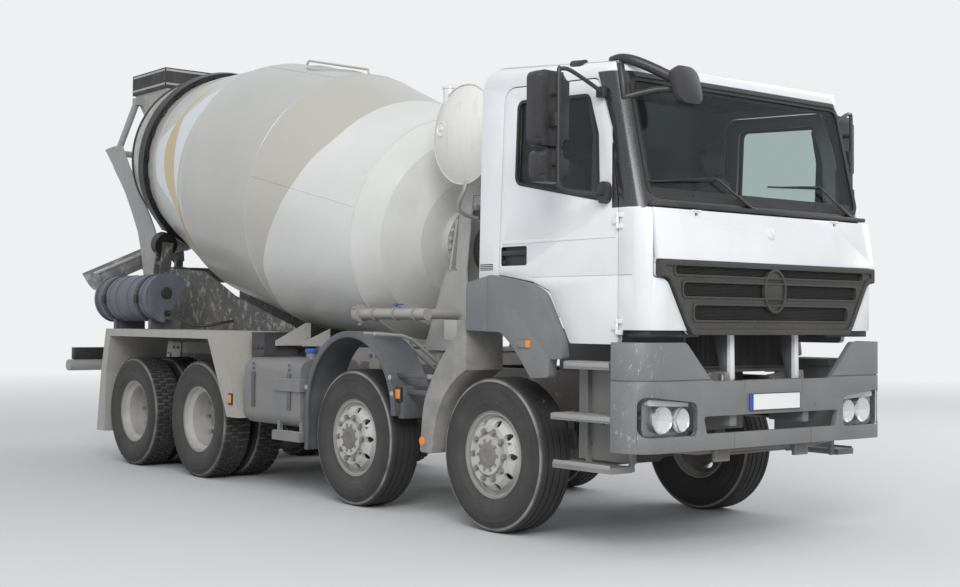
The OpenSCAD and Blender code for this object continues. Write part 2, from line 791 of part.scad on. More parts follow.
arm_y = panel_y;

module hopper_frame() color([0.60, 0.60, 0.58]) from_axle() {
    both_sides() {
        side_plate(arm_y, 18) polygon([
            [-6310, 1800], [-6310, 2090], [-6440, 2400], [-6640, 2640],
            [-6850, 2880], [-7080, 3120], [-7290, 3390], [-7700, 3370], [-7460, 3150],
            [-7150, 2850], [-6820, 2400], [-6680, 1990], [-6640, 1800]]);
        rod([-7350, arm_y + 9, 3350], [-7080, hopper_y + 60, 3860], 36);
        block([-7130, hopper_y, 3820], [-7030, hopper_y + 90, 3900]);
    }
    bar_y(-7600, 3330, 36, -arm_y - 5, arm_y + 5);
    bar_y(-6900, 2740, 30, -arm_y - 5, -300);
    bar_y(-6900, 2740, 30, 300, arm_y + 5);
    // Discharge funnel
    difference() {
        translate([post_x, 0, 2445]) cylinder(r1 = 190, r2 = 470, h = 455);
        translate([post_x, 0, 2444]) cylinder(r1 = 183, r2 = 464, h = 457);
        block([-6700, -600, 2300], [-6300, 600, 3000]);
    }
}

// Chute: the post in its sleeve with the fork's eye, and the half-round trough

chute_azimuth = -96;
chute_pin_z = 2110;
chute_pin_r = 18;
trough_up = 262;
trough_back = 170;

module chute_arm() color([0.50, 0.50, 0.50]) from_axle() {
    translate([post_x, 0, sleeve_z[0] - 30]) cylinder(r = post_r, h = sleeve_z[1] - sleeve_z[0] + 30);
    translate([post_x, 0, sleeve_z[1] + seat_gap]) cylinder(r = 80, h = 30);
    translate([post_x, 0, 0]) rotate([0, 0, chute_azimuth]) {
        difference() {
            block([-40, -34, sleeve_z[1] + 20], [40, 34, chute_pin_z + 30]);
        }
        bar_y(0, chute_pin_z, chute_pin_r, -70, 70);
    }
}

module chute() color([0.42, 0.43, 0.44]) from_axle() {
    translate([post_x, 0, chute_pin_z]) rotate([0, 0, chute_azimuth])
        rotate([0, chute_slope, 0]) {
            difference() {
                union() {
                    difference() {
                        bar_x(0, trough_up, chute_r, -trough_back, chute_len - trough_back);
                        bar_x(0, trough_up, chute_r - chute_wall, -trough_back - over,
                              chute_len - trough_back + over);
                        block([-trough_back - over, -chute_r - over, trough_up],
                              [chute_len, chute_r + over, trough_up + chute_r + over]);
                    }
                    both_sides() {
                        side_plate(40, 14) polygon([[-40, -30], [40, -30],
                            [80, trough_up - chute_r + 8], [-80, trough_up - chute_r + 8]]);
                        block([-trough_back, chute_r - 6, trough_up - 30],
                              [chute_len - trough_back, chute_r + 14, trough_up]);
                    }
                }
                bar_y(0, 0, chute_pin_r + running_gap, -100, 100);
            }
        }
}

// Cab: side outline of the shell, outside and inside, then its openings

screen_slope = 0.2393;
screen_foot = [1405, 2170];
function screen_x(z) = screen_foot[0] - (z - screen_foot[1]) * screen_slope;
screen_z = [2215, 3000];
screen_y = 1060;
door_outline = [[53, 1768], [109, 2970], [184, 3030], [1020, 2990], [1138, 2665], [1205, 2200],
                [1205, 1310], [770, 1310], [580, 1650], [405, 1713]];
door_hole = [[45, 1760], [101, 2974], [180, 3038], [1026, 2998], [1146, 2668], [1213, 2201],
             [1213, 1302], [764, 1302], [574, 1644], [403, 1705]];
window_outline = [[215, 2372], [240, 2940], [945, 2905], [1030, 2640], [1045, 2212]];
glass_outline = [[215.3, 2372.3], [240.3, 2939.7], [944.7, 2904.7], [1029.7, 2640], [1044.7, 2212.5]];
hinge_x = 1213;
hinge_y = cab_y + 12;
hinge_z = [1420, 2080];
hinge_r = 11;
hinge_pin_r = 5;
flap_pivot_x = 1446;
flap_pivot_z = 2150;
flap_hinge_y = 700;
flap_pin_r = 4;
flap_eye_r = 9;
// Grille: lower and upper edge, half widths there; the flap and white corners follow them
grille_z = [1372, 1834];
grille_half = [cab_y - 348, cab_y - 70];
flap_half = grille_half[1] + 5;
grille_bar_gap = (grille_half[1] - 60) / 17;

module hinge_on_cab(z) {
    translate([hinge_x, hinge_y, z - 50]) cylinder(r = hinge_r, h = 30);
    translate([hinge_x, hinge_y, z + 20]) cylinder(r = hinge_r, h = 30);
    translate([hinge_x, hinge_y, z - 50]) cylinder(r = hinge_pin_r, h = 100);
    for (e = [z - 50, z + 20])
        block([hinge_x, cab_y - 5, e], [hinge_x + 40, cab_y + 16, e + 30]);
}

module hinge_on_door(z) {
    difference() {
        union() {
            translate([hinge_x, hinge_y, z - 19.7]) cylinder(r = hinge_r, h = 39.4);
            block([hinge_x - 45, cab_y - 5, z - 19.7], [hinge_x, cab_y + 16, z + 19.7]);
        }
        translate([hinge_x, hinge_y, z - 60]) cylinder(r = hinge_pin_r + running_gap, h = 120);
    }
}

module cab_shell() color([0.90, 0.90, 0.89]) from_axle() {
    difference() {
        union() {
            side_plate(-cab_y, 2 * cab_y) polygon([
                [-167, 1480], [-141, 2850], [-56, 3155], [105, 3200], [1120, 3110], [1192, 3060],
                screen_foot, [1440, 1850], [1440, 1400], [1215, 1400], [1215, 1480]]);
            // White corners beside the grille
            both_sides() front_plate(1430, 60) polygon([
                [cab_y, 1845], [grille_half[1] + 14, 1845], [grille_half[0] + 24, 1400],
                [cab_y, 1400]]);
        }
        side_plate(-cab_y + cab_wall, 2 * (cab_y - cab_wall)) polygon([
            [-122, 1530], [-97, 2845], [-20, 3115], [110, 3155], [1110, 3066], [1150, 3040],
            [1358, 2170], [1392, 1850], [1392, 1530]]);
        // Windscreen
        side_plate(-screen_y, 2 * screen_y) polygon([
            [1100, screen_z[0]], [1500, screen_z[0]], [1500, screen_z[1]], [1000, screen_z[1]]]);
        // Doors
        both_sides() side_plate(cab_y - cab_wall - over, cab_wall + 2 * over) polygon(door_hole);
        // Space for the lower door ends
        both_sides() side_plate(cab_y - cab_wall - 4, cab_wall + 2 * over) polygon([
            [764, 1302], [1213, 1302], [1213, 1600], [600, 1600]]);
    }
    // Engine tunnel
    difference() {
        block([-122, -480, 1525], [1392, 480, 1760]);
        block([-200, -440, 1400], [1500, 440, 1720]);
    }
    both_sides() {
        for (z = hinge_z)
            hinge_on_cab(z);
        // Hinge of the front flap
        bar_y(flap_pivot_x, flap_pivot_z, flap_pin_r, flap_hinge_y - 40, flap_hinge_y + 40);
        block([1400, flap_hinge_y - 12, flap_pivot_z - 12],
              [flap_pivot_x + 3, flap_hinge_y + 12, flap_pivot_z + 8]);
        // Tilting lugs with their pins
        side_plate(cab_pivot_y - 24, 40) {
            polygon([[cab_pivot_x - 38, cab_pivot_z], [cab_pivot_x + 30, cab_pivot_z],
                     [cab_pivot_x + 30, 1410], [cab_pivot_x - 120, 1410]]);
            translate([cab_pivot_x, cab_pivot_z]) circle(38);
        }
        bar_y(cab_pivot_x, cab_pivot_z, cab_pin_r, cab_pivot_y, rail_y - 2);
    }
}

module windscreen() color([0.55, 0.62, 0.66, 0.4]) from_axle() {
    z = [screen_z[0] + seat_gap, screen_z[1] - seat_gap];
    side_plate(-screen_y + seat_gap, 2 * (screen_y - seat_gap)) polygon([
        [screen_x(z[0]) - 20, z[0]], [screen_x(z[1]) - 20, z[1]],
        [screen_x(z[1]) - 20 - glass_t, z[1]], [screen_x(z[0]) - 20 - glass_t, z[0]]]);
}

module arch_cladding() color([0.42, 0.43, 0.45]) from_axle() {
    both_sides() side_plate(cab_y, arch_y - cab_y) polygon([
        [-221, 1385], [-221, 1713], [42, 1755], [400, 1700], [568, 1640], [755, 1330],
        [770, 1212], [655, 1205], [640, 1085], [465, 1076], [372, 1185], [270, 1290],
        [153, 1375]]);
}

// Doors with their windows

module door() {
    difference() {
        side_plate(cab_y - cab_wall, cab_wall) polygon(door_outline);
        side_plate(cab_y - cab_wall - over, cab_wall + 2 * over) polygon(window_outline);
    }
    for (z = hinge_z)
        hinge_on_door(z);
    // Handle
    block([80, cab_y - 5, 1830], [340, cab_y + 22, 1950]);
}

module door_glass() {
    side_plate(cab_y - 25, glass_t) polygon(glass_outline);
}

module mirror_set() {
    block([850, 1330, 2540], [950, 1600, 3040]);
    block([860, 1340, 2330], [940, 1580, 2525]);
    block([880, 1400, 2500], [920, 1440, 2560]);
    for (z = [2270, 2760]) {
        rod([1090, cab_y + 24, z], [905, 1360, z + 135], 16);
        block([1060, cab_y + seat_gap, z - 30], [1120, cab_y + 30, z + 30]);
    }
}

module cab_trim() color([0.12, 0.12, 0.12]) from_axle() {
    // Cowl under the windscreen
    side_plate(-1080, 2160) polygon([
        [screen_x(2185) + 0.5, 2185], [screen_x(2185) + 10, 2185], [1438, 2165], [1409, 2165]]);
    // Wipers
    for (y = [-850, 100])
        rod([screen_x(2190) + 12, y, 2190], [screen_x(2260) + 12, y + 640, 2260], 9);
    // Kerb mirror over the windscreen's right corner
    kerb_arm = [[1090, -900, 3140], [1260, -895, 3130], [1460, -880, 2960], [1470, -880, 2840]];
    for (i = [0:2]) {
        rod(kerb_arm[i], kerb_arm[i + 1], 14);
        translate(kerb_arm[i]) sphere(15);
    }
    block([1065, -918, 3115.2], [1115, -882, 3135]);
    block([1440, -1000, 2600], [1500, -760, 2850]);
}

module cab_interior() color([0.25, 0.25, 0.26]) from_axle() {
    // Seats
    both_sides() {
        block([250, 520, 1770], [760, 1010, 1940]);
        block([200, 540, 1900], [330, 990, 2560]);
        block([215, 640, 2560], [310, 890, 2760]);
        block([330, 600, 1530], [700, 930, 1780]);
    }
    // Dashboard
    block([1090, -1090, 1990], [1330, 1090, 2190]);
    block([1200, -1090, 1765], [1340, 1090, 2000]);
    block([1230, seat_gap + cab_wall - cab_y, 2000], [1330, cab_y - cab_wall - seat_gap, 2140]);
    // Steering wheel
    translate([980, 720, 2180]) rotate([0, 35, 0]) rotate_extrude() translate([205, 0]) circle(16);
    translate([980, 720, 2180]) rotate([0, 35, 0]) block([-200, -15, -8], [200, 15, 8]);
    rod([980, 720, 2180], [1130, 720, 1980], 30);
}

// Front flap with the grille, hinged under the windscreen

module front_flap() color([0.90, 0.90, 0.89]) from_axle() {
    difference() {
        union() {
            side_plate(-flap_half, 2 * flap_half) polygon([
                [1424, 2155], [1448, 2155], [1502, 1838], [1460, 1838]]);
            both_sides() bar_y(flap_pivot_x, flap_pivot_z, flap_eye_r,
                               flap_hinge_y - 38, flap_hinge_y + 38);
        }
        both_sides() {
            block([1400, flap_hinge_y - 18, 2120], [1470, flap_hinge_y + 18, 2180]);
            bar_y(flap_pivot_x, flap_pivot_z, flap_pin_r + running_gap,
                  flap_hinge_y - 60, flap_hinge_y + 60);
        }
    }
    front_plate(1446, 16) difference() {
        polygon([[-grille_half[1], 1845], [grille_half[1], 1845],
                 [grille_half[0] + 3, 1385], [-grille_half[0] - 3, 1385]]);
        polygon([[80 - grille_half[1], 1800], [grille_half[1] - 80, 1800],
                 [grille_half[0] - 42, 1425], [42 - grille_half[0], 1425]]);
    }
}

module grille() color([0.18, 0.18, 0.17]) from_axle() {
    front_plate(1462, 44) difference() {
        polygon([[-grille_half[1], grille_z[1]], [grille_half[1], grille_z[1]],
                 [grille_half[0], grille_z[0]], [-grille_half[0], grille_z[0]]]);
        for (i = [0:2]) {
            z1 = grille_z[1] - 36 - i * 145;
            w1 = grille_half[1] - 60 - i * 84;
            polygon([[-w1, z1], [w1, z1], [w1 - 60, z1 - 105], [60 - w1, z1 - 105]]);
        }
    }
    intersection() {
        union() {
            for (i = [-17:17])
                block([1470, i * grille_bar_gap - 6, grille_z[0]],
                      [1494, i * grille_bar_gap + 6, grille_z[1]]);
            bar_x(0, 1610, 150, 1466, 1512);
        }
        front_plate(1462, 60) polygon([
            [-grille_half[1], grille_z[1]], [grille_half[1], grille_z[1]],
            [grille_half[0], grille_z[0]], [-grille_half[0], grille_z[0]]]);
    }
}

frame_rails();
subframe();
driveline();
axle_beams();
bumper();
lamps();
steps();
plastic_fenders();
rear_fenders();
fuel_tank();
chassis_boxes();
water_supply();
front_pedestal();
drum_gearbox();
rear_pedestal();
hopper();
hopper_collar();
hopper_frame();
side_tank();
rear_underrun();
cab_shell();
windscreen();
arch_cladding();
cab_trim();
cab_interior();
front_flap();
grille();
color([0.90, 0.90, 0.89]) on_side(right) door();  // door_right
color([0.90, 0.90, 0.89]) on_side(left) door();  // door_left
color([0.55, 0.62, 0.66, 0.4]) on_side(right) door_glass();  // door_glass_right
color([0.55, 0.62, 0.66, 0.4]) on_side(left) door_glass();  // door_glass_left
color([0.12, 0.12, 0.12]) on_side(right) mirror_set();  // mirror_right
color([0.12, 0.12, 0.12]) on_side(left) mirror_set();  // mirror_left
knuckle_on(0, right);  // knuckle_1_right
knuckle_on(0, left);  // knuckle_1_left
knuckle_on(axle_2_x, right);  // knuckle_2_right
knuckle_on(axle_2_x, left);  // knuckle_2_left
rim_on(0, right);  // rim_1_right
rim_on(0, left);  // rim_1_left
rim_on(axle_2_x, right);  // rim_2_right
rim_on(axle_2_x, left);  // rim_2_left
tyre_on(0, right);  // tyre_1_right
tyre_on(0, left);  // tyre_1_left
tyre_on(axle_2_x, right);  // tyre_2_right
tyre_on(axle_2_x, left);  // tyre_2_left
rims_on(axle_3_x, right);  // rims_3_right
rims_on(axle_3_x, left);  // rims_3_left
rims_on(axle_4_x, right);  // rims_4_right
rims_on(axle_4_x, left);  // rims_4_left
tyres_on(axle_3_x, right);  // tyres_3_right
tyres_on(axle_3_x, left);  // tyres_3_left
tyres_on(axle_4_x, right);  // tyres_4_right
tyres_on(axle_4_x, left);  // tyres_4_left
drum_shell();
track_ring();
roller(right);  // roller_right
roller(left);  // roller_left
chute_arm();
chute();
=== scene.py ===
import json
import math

import bmesh
import bpy
from mathutils import Matrix, Vector

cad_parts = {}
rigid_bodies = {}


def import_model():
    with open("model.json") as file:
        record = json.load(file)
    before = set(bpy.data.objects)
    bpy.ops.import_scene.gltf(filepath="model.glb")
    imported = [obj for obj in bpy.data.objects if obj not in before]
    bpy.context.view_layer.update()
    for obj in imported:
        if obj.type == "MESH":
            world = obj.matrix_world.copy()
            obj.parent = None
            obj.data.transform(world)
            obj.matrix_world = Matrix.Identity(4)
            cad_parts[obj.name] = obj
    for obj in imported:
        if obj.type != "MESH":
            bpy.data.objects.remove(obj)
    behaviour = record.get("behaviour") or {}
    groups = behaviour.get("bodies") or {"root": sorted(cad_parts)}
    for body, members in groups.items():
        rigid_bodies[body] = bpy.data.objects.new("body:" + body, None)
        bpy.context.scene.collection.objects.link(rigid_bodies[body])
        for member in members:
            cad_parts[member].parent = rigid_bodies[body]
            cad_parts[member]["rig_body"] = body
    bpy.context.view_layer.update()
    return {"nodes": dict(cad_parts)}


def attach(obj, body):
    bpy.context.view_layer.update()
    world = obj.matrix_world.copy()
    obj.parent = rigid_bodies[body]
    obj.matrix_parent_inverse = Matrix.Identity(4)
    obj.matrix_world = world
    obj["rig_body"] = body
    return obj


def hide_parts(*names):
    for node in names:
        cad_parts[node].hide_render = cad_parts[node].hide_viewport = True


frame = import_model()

node = frame["nodes"]
bpy.context.scene.view_settings.view_transform = "Standard"

# Camera: stands on the kerb side ahead of the right front corner, at eye height.
# Its place, turn and lens follow from the wheels, bumper and cab corners in the picture.
eye_place = Vector((10.494, -7.280, 1.450))
eye_yaw = math.radians(51.02)
eye_pitch = math.radians(1.12)
eye_roll = math.radians(0.44)
eye_lens = 52.5

eye_data = bpy.data.cameras.new("eye")
eye_data.lens = eye_lens
eye_data.sensor_width = 36
eye_data.clip_end = 300
eye = bpy.data.objects.new("eye", eye_data)
eye.matrix_world = (Matrix.Translation(eye_place) @ Matrix.Rotation(eye_yaw, 4, "Z")
                    @ Matrix.Rotation(math.pi / 2 + eye_pitch, 4, "X")
                    @ Matrix.Rotation(eye_roll, 4, "Z"))
bpy.context.scene.collection.objects.link(eye)
bpy.context.scene.camera = eye

# Studio: a wide pale floor that fades into a pale backdrop, a bright even sky,
# one large soft lamp from the front right and a weaker one from the left.
backdrop_colour = (0.86, 0.87, 0.88, 1)
sky_level = 0.80


def link_new(data, name):
    thing = bpy.data.objects.new(name, data)
    bpy.context.scene.collection.objects.link(thing)
    return thing


def soft_lamp(name, place, aim, size, watts):
    lamp = bpy.data.lights.new(name, "AREA")
    lamp.size = size
    lamp.energy = watts
    thing = link_new(lamp, name)
    thing.location = place
    thing.rotation_euler = (Vector(aim) - Vector(place)).to_track_quat("-Z", "Y").to_euler()


soft_lamp("lamp_front", (13, -9, 9), (1, 0, 1.5), 7, 1380)
soft_lamp("lamp_left", (3, 12, 8), (0, 0, 1.5), 8, 500)

world = bpy.data.worlds.new("studio")
bpy.context.scene.world = world
world.use_nodes = True
sky = world.node_tree
sky.nodes.clear()
sky_out = sky.nodes.new("ShaderNodeOutputWorld")
sky_mix = sky.nodes.new("ShaderNodeMixShader")
sky_light = sky.nodes.new("ShaderNodeBackground")
sky_light.inputs["Color"].default_value = (0.93, 0.96, 1.0, 1)
sky_light.inputs["Strength"].default_value = sky_level
sky_shown = sky.nodes.new("ShaderNodeBackground")
sky_shown.inputs["Color"].default_value = backdrop_colour
sky_ray = sky.nodes.new("ShaderNodeLightPath")
sky_either = sky.nodes.new("ShaderNodeMath")
sky_either.operation = "MAXIMUM"
sky.links.new(sky_ray.outputs["Is Camera Ray"], sky_either.inputs[0])
sky.links.new(sky_ray.outputs["Is Transmission Ray"], sky_either.inputs[1])
sky.links.new(sky_either.outputs[0], sky_mix.inputs[0])
sky.links.new(sky_light.outputs[0], sky_mix.inputs[1])
sky.links.new(sky_shown.outputs[0], sky_mix.inputs[2])
sky.links.new(sky_mix.outputs[0], sky_out.inputs[0])

floor_radius = 90
floor_mesh = bpy.data.meshes.new("floor")
shape = bmesh.new()
bmesh.ops.create_circle(shape, cap_ends=True, segments=96, radius=floor_radius)
shape.to_mesh(floor_mesh)
shape.free()
floor = link_new(floor_mesh, "floor")
floor_finish = bpy.data.materials.new("floor_pale")
floor_finish.use_nodes = True
ground = floor_finish.node_tree
ground_bsdf = ground.nodes["Principled BSDF"]
ground_bsdf.inputs["Base Color"].default_value = (0.60, 0.60, 0.60, 1)
ground_bsdf.inputs["Roughness"].default_value = 0.9
ground_place = ground.nodes.new("ShaderNodeTexCoord")
ground_length = ground.nodes.new("ShaderNodeVectorMath")
ground_length.operation = "LENGTH"
ground_fade = ground.nodes.new("ShaderNodeMapRange")
ground_fade.inputs["From Min"].default_value = 8
ground_fade.inputs["From Max"].default_value = 26
ground_glow = ground.nodes.new("ShaderNodeEmission")
ground_glow.inputs["Color"].default_value = backdrop_colour
ground_ray = ground.nodes.new("ShaderNodeLightPath")
ground_seen = ground.nodes.new("ShaderNodeMath")
ground_seen.operation = "MULTIPLY"
ground_mix = ground.nodes.new("ShaderNodeMixShader")
ground.links.new(ground_place.outputs["Object"], ground_length.inputs[0])
ground.links.new(ground_length.outputs["Value"], ground_fade.inputs["Value"])
ground.links.new(ground_fade.outputs[0], ground_seen.inputs[0])
ground.links.new(ground_ray.outputs["Is Camera Ray"], ground_seen.inputs[1])
ground.links.new(ground_seen.outputs[0], ground_mix.inputs[0])
ground.links.new(ground_bsdf.outputs[0], ground_mix.inputs[1])
ground.links.new(ground_glow.outputs[0], ground_mix.inputs[2])
ground.links.new(ground_mix.outputs[0], ground.nodes["Material Output"].inputs[0])
floor_mesh.materials.append(floor_finish)

# Frame: two pressed channel rails with tube cross members, the mixer's subframe tied on
# top by bolted plates. Steel, painted grey, under a coat of dried road and cement dust.
front_axle = 3.070


def at(x, y, z):
    """A place measured from the first axle, as the truck's drawings give it."""
    return Vector((front_axle + x, y, z))


def shader_steps(material):
    """The node tree's own pieces: tree, its shader, object coordinates, height."""
    material.use_nodes = True
    tree = material.node_tree
    shader = tree.nodes["Principled BSDF"]
    place = tree.nodes.new("ShaderNodeTexCoord")
    split = tree.nodes.new("ShaderNodeSeparateXYZ")
    tree.links.new(place.outputs["Object"], split.inputs[0])
    return tree, shader, place.outputs["Object"], split


def cloud(tree, place, scale, detail=6, rough=0.6):
    """A noise at the given scale per metre."""
    noise = tree.nodes.new("ShaderNodeTexNoise")
    noise.inputs["Scale"].default_value = scale
    noise.inputs["Detail"].default_value = detail
    noise.inputs["Roughness"].default_value = rough
    tree.links.new(place, noise.inputs["Vector"])
    return noise.outputs["Fac"]


def spread(tree, value, low, high, to_low=0.0, to_high=1.0):
    """Maps low..high of a value to a new range, held at its ends."""
    step = tree.nodes.new("ShaderNodeMapRange")
    step.inputs["From Min"].default_value = low
    step.inputs["From Max"].default_value = high
    step.inputs["To Min"].default_value = to_low
    step.inputs["To Max"].default_value = to_high
    tree.links.new(value, step.inputs["Value"])
    return step.outputs[0]


def combine(tree, kind, a, b, clamp=True):
    step = tree.nodes.new("ShaderNodeMath")
    step.operation = kind
    step.use_clamp = clamp
    for socket, value in zip(step.inputs, (a, b)):
        if isinstance(value, (int, float)):
            socket.default_value = value
        else:
            tree.links.new(value, socket)
    return step.outputs[0]


def blend_colour(tree, mask, a, b):
    step = tree.nodes.new("ShaderNodeMix")
    step.data_type = "RGBA"
    tree.links.new(mask, step.inputs["Factor"])
    for name, value in (("A", a), ("B", b)):
        socket = [s for s in step.inputs if s.name == name and s.type == "RGBA"][0]
        if isinstance(value, (tuple, list)):
            socket.default_value = (*value[:3], 1)
        else:
            tree.links.new(value, socket)
    return [s for s in step.outputs if s.type == "RGBA"][0]


def bumped(tree, shader, height, strength, distance=0.002):
    step = tree.nodes.new("ShaderNodeBump")
    step.inputs["Strength"].default_value = strength
    step.inputs["Distance"].default_value = distance
    tree.links.new(height, step.inputs["Height"])
    tree.links.new(step.outputs[0], shader.inputs["Normal"])


def coated(name, colour, rough=0.4, metal=0.0, gloss_coat=0.0, dust=(0.30, 0.27, 0.23),
           dusty=0.35, dust_top=1.6, dust_low=0.2, grain=90, bump=0.12, patch=2.2,
           streaks=0.0, crust=0.0, overlay=None):
    """A paint or moulded plastic: dust thickens towards the ground, streaks run down it,
    crust is splashed cement, and overlay may recolour it by place."""
    material = bpy.data.materials.new(name)
    tree, shader, place, split = shader_steps(material)
    shader.inputs["Metallic"].default_value = metal
    shader.inputs["Coat Weight"].default_value = gloss_coat
    shader.inputs["Coat Roughness"].default_value = 0.12
    large = cloud(tree, place, patch)
    fine = cloud(tree, place, grain, 3)
    tone = blend_colour(tree, spread(tree, large, 0.3, 0.7),
                        tuple(c * 0.93 for c in colour), tuple(min(c * 1.05, 1) for c in colour))
    if overlay:
        tone = overlay(tree, place, split, tone)
    low_down = spread(tree, split.outputs["Z"], dust_low, dust_top, 1.0, 0.12)
    mask = combine(tree, "MULTIPLY", spread(tree, large, 0.35, 0.72), low_down)
    speckle = spread(tree, fine, 0.3, 0.8, -0.1, 0.25)
    mask = combine(tree, "MULTIPLY", combine(tree, "ADD", mask, speckle), dusty)
    relief = fine
    if streaks:
        drawn = tree.nodes.new("ShaderNodeMapping")
        drawn.inputs["Scale"].default_value = (9, 9, 0.7)
        tree.links.new(place, drawn.inputs["Vector"])
        runs = spread(tree, cloud(tree, drawn.outputs[0], 2.0, 5), 0.56, 0.80, 0.0, streaks)
        mask = combine(tree, "ADD", mask, runs)
    tone = blend_colour(tree, mask, tone, dust)
    if crust:
        lumps = cloud(tree, place, 9, 8, 0.7)
        cake = spread(tree, lumps, 0.60 - 0.22 * crust, 0.66 - 0.18 * crust)
        tone = blend_colour(tree, cake, tone, blend_colour(
            tree, fine, (0.30, 0.29, 0.27), (0.46, 0.45, 0.42)))
        relief = combine(tree, "ADD", combine(tree, "MULTIPLY", fine, 0.4),
                         combine(tree, "MULTIPLY", cake, cloud(tree, place, 34, 5)))
        mask = combine(tree, "ADD", mask, combine(tree, "MULTIPLY", cake, 0.6))
    tree.links.new(tone, shader.inputs["Base Color"])
    tree.links.new(spread(tree, mask, 0.0, 0.6, rough, min(rough + 0.35, 0.9)),
                   shader.inputs["Roughness"])
    bumped(tree, shader, relief, bump, 0.006 if crust else 0.002)
    return material


def wear(material, *names):
    """Gives CAD nodes their finish."""
    for name in names:
        mesh = node[name].data
        mesh.materials.clear()
        mesh.materials.append(material)


def body_of(name):
    return node[name]["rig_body"]


def board(origin, u, v):
    """A flat place: u and v run along it, the third direction stands on it."""
    u, v = Vector(u).normalized(), Vector(v).normalized()
    w = u.cross(v)
    return Matrix(((u.x, v.x, w.x, origin[0]), (u.y, v.y, w.y, origin[1]),
                   (u.z, v.z, w.z, origin[2]), (0, 0, 0, 1)))


def facing(x, y, z):
    """A place that faces ahead, with u to the left and v up."""
    return board(at(x, y, z), (0, 1, 0), (0, 0, 1))


def add_mesh(shape, mesh, place):
    part = mesh.copy()
    part.transform(place)
    shape.from_mesh(part)
    bpy.data.meshes.remove(part)


def finished(name, shape, finish, body, sharp=32):
    """Closes a shape into a piece that rides with a body."""
    bmesh.ops.recalc_face_normals(shape, faces=shape.faces)
    mesh = bpy.data.meshes.new(name)
    shape.to_mesh(mesh)
    shape.free()
    mesh.materials.clear()
    mesh.materials.append(finish)
    mesh.shade_smooth()
    mesh.set_sharp_from_angle(angle=math.radians(sharp))
    piece = link_new(mesh, name)
    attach(piece, body)
    return piece


def tree_of(name, *inputs):
    """An empty node tree with its geometry sockets and named inputs."""
    tree = bpy.data.node_groups.new(name, "GeometryNodeTree")
    tree.interface.new_socket("Geometry", in_out="INPUT", socket_type="NodeSocketGeometry")
    for label, kind in inputs:
        tree.interface.new_socket(label, in_out="INPUT", socket_type="NodeSocket" + kind)
    tree.interface.new_socket("Geometry", in_out="OUTPUT", socket_type="NodeSocketGeometry")
    return tree, tree.nodes.new("NodeGroupInput"), tree.nodes.new("NodeGroupOutput")


def placed_copies(tree, given, points, rotation=None):
    """Instances of the unit on points."""
    info = tree.nodes.new("GeometryNodeObjectInfo")
    tree.links.new(given.outputs["Unit"], info.inputs["Object"])
    copies = tree.nodes.new("GeometryNodeInstanceOnPoints")
    tree.links.new(points, copies.inputs["Points"])
    tree.links.new(info.outputs["Geometry"], copies.inputs["Instance"])
    if rotation is not None:
        tree.links.new(rotation, copies.inputs["Rotation"])
    return copies.outputs["Instances"]


def close_tree(tree, given, ending, geometry):
    whole = tree.nodes.new("GeometryNodeRealizeInstances")
    painted = tree.nodes.new("GeometryNodeSetMaterial")
    tree.links.new(geometry, whole.inputs["Geometry"])
    tree.links.new(whole.outputs["Geometry"], painted.inputs["Geometry"])
    tree.links.new(given.outputs["Finish"], painted.inputs["Material"])
    tree.links.new(painted.outputs["Geometry"], ending.inputs["Geometry"])


# Rows of copies: bolts, fins, studs and wires on a flat place
row_tree, given, ending = tree_of("rows_of_copies", ("Unit", "Object"), ("Count", "Int"),
                                  ("Step", "Vector"), ("Rows", "Int"), ("Row Step", "Vector"),
                                  ("Finish", "Material"))
lines = []
for count, step in (("Count", "Step"), ("Rows", "Row Step")):
    line = row_tree.nodes.new("GeometryNodeMeshLine")
    row_tree.links.new(given.outputs[count], line.inputs["Count"])
    row_tree.links.new(given.outputs[step], line.inputs["Offset"])
    lines.append(line.outputs["Mesh"])
one_row = placed_copies(row_tree, given, lines[0])
all_rows = row_tree.nodes.new("GeometryNodeInstanceOnPoints")
row_tree.links.new(lines[1], all_rows.inputs["Points"])
row_tree.links.new(one_row, all_rows.inputs["Instance"])
close_tree(row_tree, given, ending, all_rows.outputs["Instances"])


def repeated(tree, unit, finish, **values):
    """The plain mesh that a tree makes of one unit shape."""
    bmesh.ops.recalc_face_normals(unit, faces=unit.faces)
    mesh = bpy.data.meshes.new("unit")
    unit.to_mesh(mesh)
    unit.free()
    source = link_new(mesh, "unit")
    host = link_new(bpy.data.meshes.new("host"), "host")
    modifier = host.modifiers.new("copies", "NODES")
    modifier.node_group = tree
    named = {"Unit": source, "Finish": finish}
    named.update({key.replace("_", " "): value for key, value in values.items()})
    for socket in tree.interface.items_tree:
        if socket.in_out == "INPUT" and socket.name in named:
            modifier[socket.identifier] = named[socket.name]
    graph = bpy.context.evaluated_depsgraph_get()
    result = bpy.data.meshes.new_from_object(host.evaluated_get(graph), depsgraph=graph)
    bpy.data.objects.remove(host)
    bpy.data.objects.remove(source)
    return result


def screw_head(radius):
    """Profile of a low round head."""
    return [(0.0, 0.0), (0.0, radius), (0.004, radius - 0.001), (0.005, 0.0)]


def hex_bolt(across, tall, washer=0.0):
    """A hexagon head on its washer, standing along Z."""
    unit = bmesh.new()
    if washer:
        bmesh.ops.create_cone(unit, cap_ends=True, segments=16, radius1=washer, radius2=washer,
                              depth=0.004, matrix=Matrix.Translation((0, 0, 0.002)))
    bmesh.ops.create_cone(unit, cap_ends=True, segments=6, radius1=across * 0.577,
                          radius2=across * 0.53, depth=tall,
                          matrix=Matrix.Translation((0, 0, tall / 2)))
    return unit


